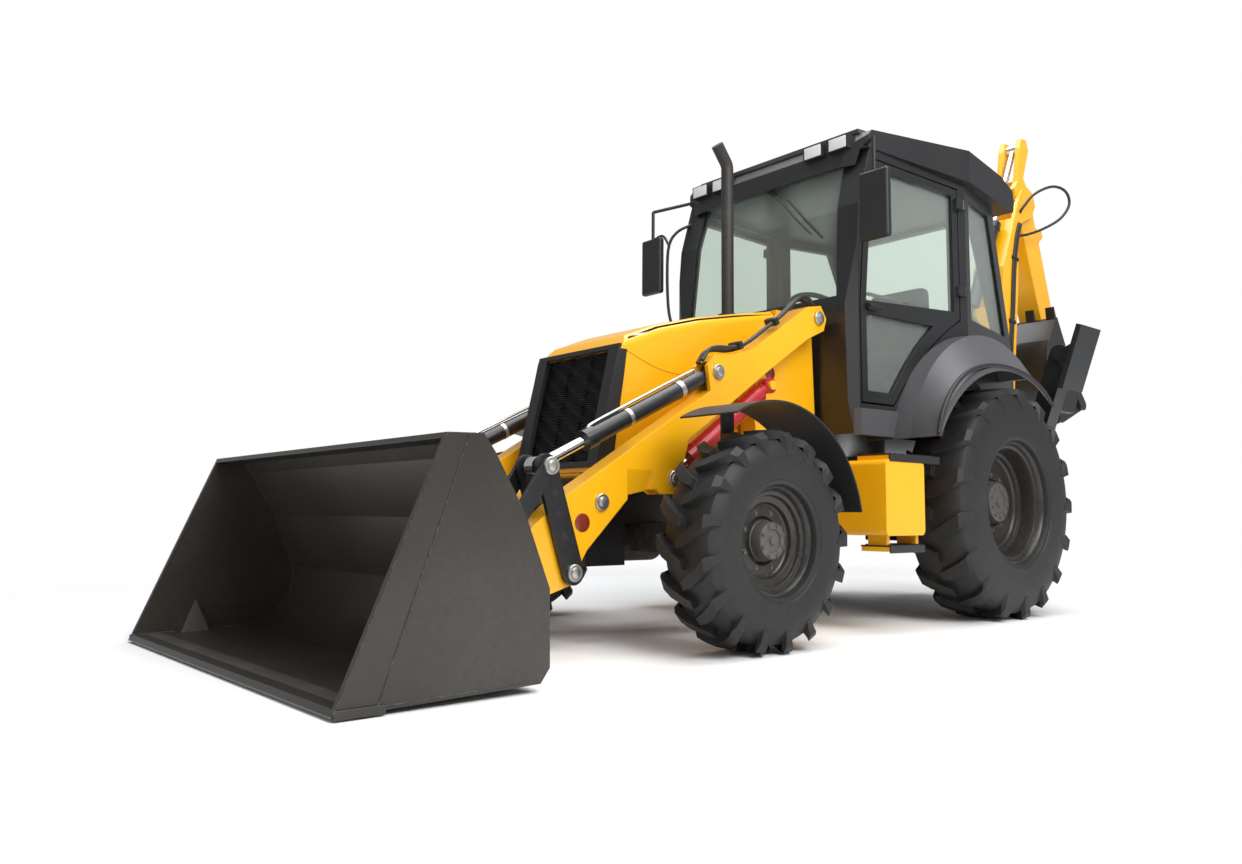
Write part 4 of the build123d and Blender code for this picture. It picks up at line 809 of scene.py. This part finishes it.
FINISH = {
    YELLOW: ("hood", "cowl", "loader_towers", "loader_arms", "side_boxes", "boom", "dipper"),
    BUCKET: ("loader_bucket",),
    BLACK: ("bucket_links", "loader_levers", "tilt_barrels", "cab_frame", "door_left", "door_right",
            "stabilizer_leg_left", "stabilizer_leg_right", "stabilizer_pad_left", "stabilizer_pad_right",
            "digging_bucket", "bucket_guides", "digging_links", "boom_barrel", "dipper_barrel", "curl_barrel",
            "rear_frame", "main_frame", "swing_casting"),
    BLACK_PLASTIC: ("front_fender_left", "front_fender_right", "mirrors", "cab_controls", "roof_lamps",
                    "cab_roof"),
    GREY_PLASTIC: ("rear_fenders",),
    IRON: ("engine", "front_axle", "rear_axle", "knuckle_left", "knuckle_right", "tie_down_lugs",
           "exhaust_stack"),
    CHROME: ("lift_rods", "tilt_rods", "boom_rod", "dipper_rod", "curl_rod"),
    RED: ("lift_barrels",),
    GLASS: ("cab_glass", "door_glass_left", "door_glass_right"),
}
for material, members in FINISH.items():
    for name in members:
        mesh = nodes[name].data
        mesh.materials.clear()
        mesh.materials.append(material)


# Studio

def studio_floor_finish():
    """Pale flooring that keeps the shadow and runs out to white."""
    mat = bpy.data.materials.new("studio_floor")
    mat.use_nodes = True
    tree = mat.node_tree
    shader = tree.nodes["Principled BSDF"]
    place = add(tree, "ShaderNodeTexCoord")
    tint = remap(tree, noise(tree, place, 3.0, 3.0), to_low=0.90, to_high=0.93)
    tree.links.new(tint, shader.inputs["Base Color"])
    shader.inputs["Roughness"].default_value = 0.8
    span = add(tree, "ShaderNodeVectorMath", {0: place.outputs["Object"]}, operation="LENGTH")
    away = remap(tree, span.outputs["Value"], 3.6, 6.5, interpolation_type="SMOOTHSTEP")
    seen = add(tree, "ShaderNodeLightPath")
    part = times(tree, away, seen.outputs["Is Camera Ray"])
    glow = add(tree, "ShaderNodeEmission", {"Color": (1, 1, 1, 1), "Strength": 1.0})
    blend = add(tree, "ShaderNodeMixShader", {0: part, 1: shader.outputs[0], 2: glow.outputs[0]})
    tree.links.new(blend.outputs[0], tree.nodes["Material Output"].inputs["Surface"])
    return mat


def softbox(name, place, aim, width, height, power):
    """A broad lamp that faces its aim."""
    data = bpy.data.lights.new(name, "AREA")
    data.shape = "RECTANGLE"
    data.size = width
    data.size_y = height
    data.energy = power
    lamp = bpy.data.objects.new(name, data)
    scene.collection.objects.link(lamp)
    lamp.location = place
    lamp.rotation_mode = "QUATERNION"
    lamp.rotation_quaternion = (aim - place).to_track_quat("-Z", "Y")


bm = bmesh.new()
bmesh.ops.create_grid(bm, x_segments=2, y_segments=2, size=60)
mesh = bpy.data.meshes.new("studio_floor")
bm.to_mesh(mesh)
bm.free()
floor = bpy.data.objects.new("studio_floor", mesh)
scene.collection.objects.link(floor)
mesh.materials.append(studio_floor_finish())

world = bpy.data.worlds.new("studio")
scene.world = world
world.use_nodes = True
tree = world.node_tree
light = tree.nodes["Background"]
light.inputs["Color"].default_value = (0.93, 0.96, 1.0, 1)
light.inputs["Strength"].default_value = 0.40
white = add(tree, "ShaderNodeBackground", {"Color": (1, 1, 1, 1), "Strength": 1.0})
ray = add(tree, "ShaderNodeLightPath")
pick = add(tree, "ShaderNodeMixShader", {0: ray.outputs["Is Camera Ray"], 1: light.outputs[0],
                                         2: white.outputs[0]})
tree.links.new(pick.outputs[0], tree.nodes["World Output"].inputs["Surface"])

softbox("key_softbox", Vector((2.0, 7.5, 7.0)), Vector((0, 0, 1)), 6.5, 5.0, 820)
softbox("top_softbox", Vector((-0.5, 0.0, 9.5)), Vector((0, 0, 0)), 9.0, 7.0, 860)
softbox("front_softbox", Vector((10.0, 3.0, 3.0)), Vector((0, 0, 1.2)), 4.0, 3.0, 70)

data = bpy.data.cameras.new("photo_camera")
data.sensor_width = 36.0
data.lens = 27.70
data.shift_x = -0.0156
data.shift_y = -0.0080
data.clip_end = 200.0
camera = bpy.data.objects.new("photo_camera", data)
scene.collection.objects.link(camera)
stand = at(5404.9, 3822.4, 606.2)
look = Vector((-0.65778, -0.74716, 0.09532)).normalized()
right = Vector((-0.75023, 0.66118, 0.00539)).normalized()
up = right.cross(look).normalized()
camera.matrix_world = Matrix.Translation(stand) @ Matrix((right, up, -look)).transposed().to_4x4()
scene.camera = camera
scene.view_settings.view_transform = "Standard"
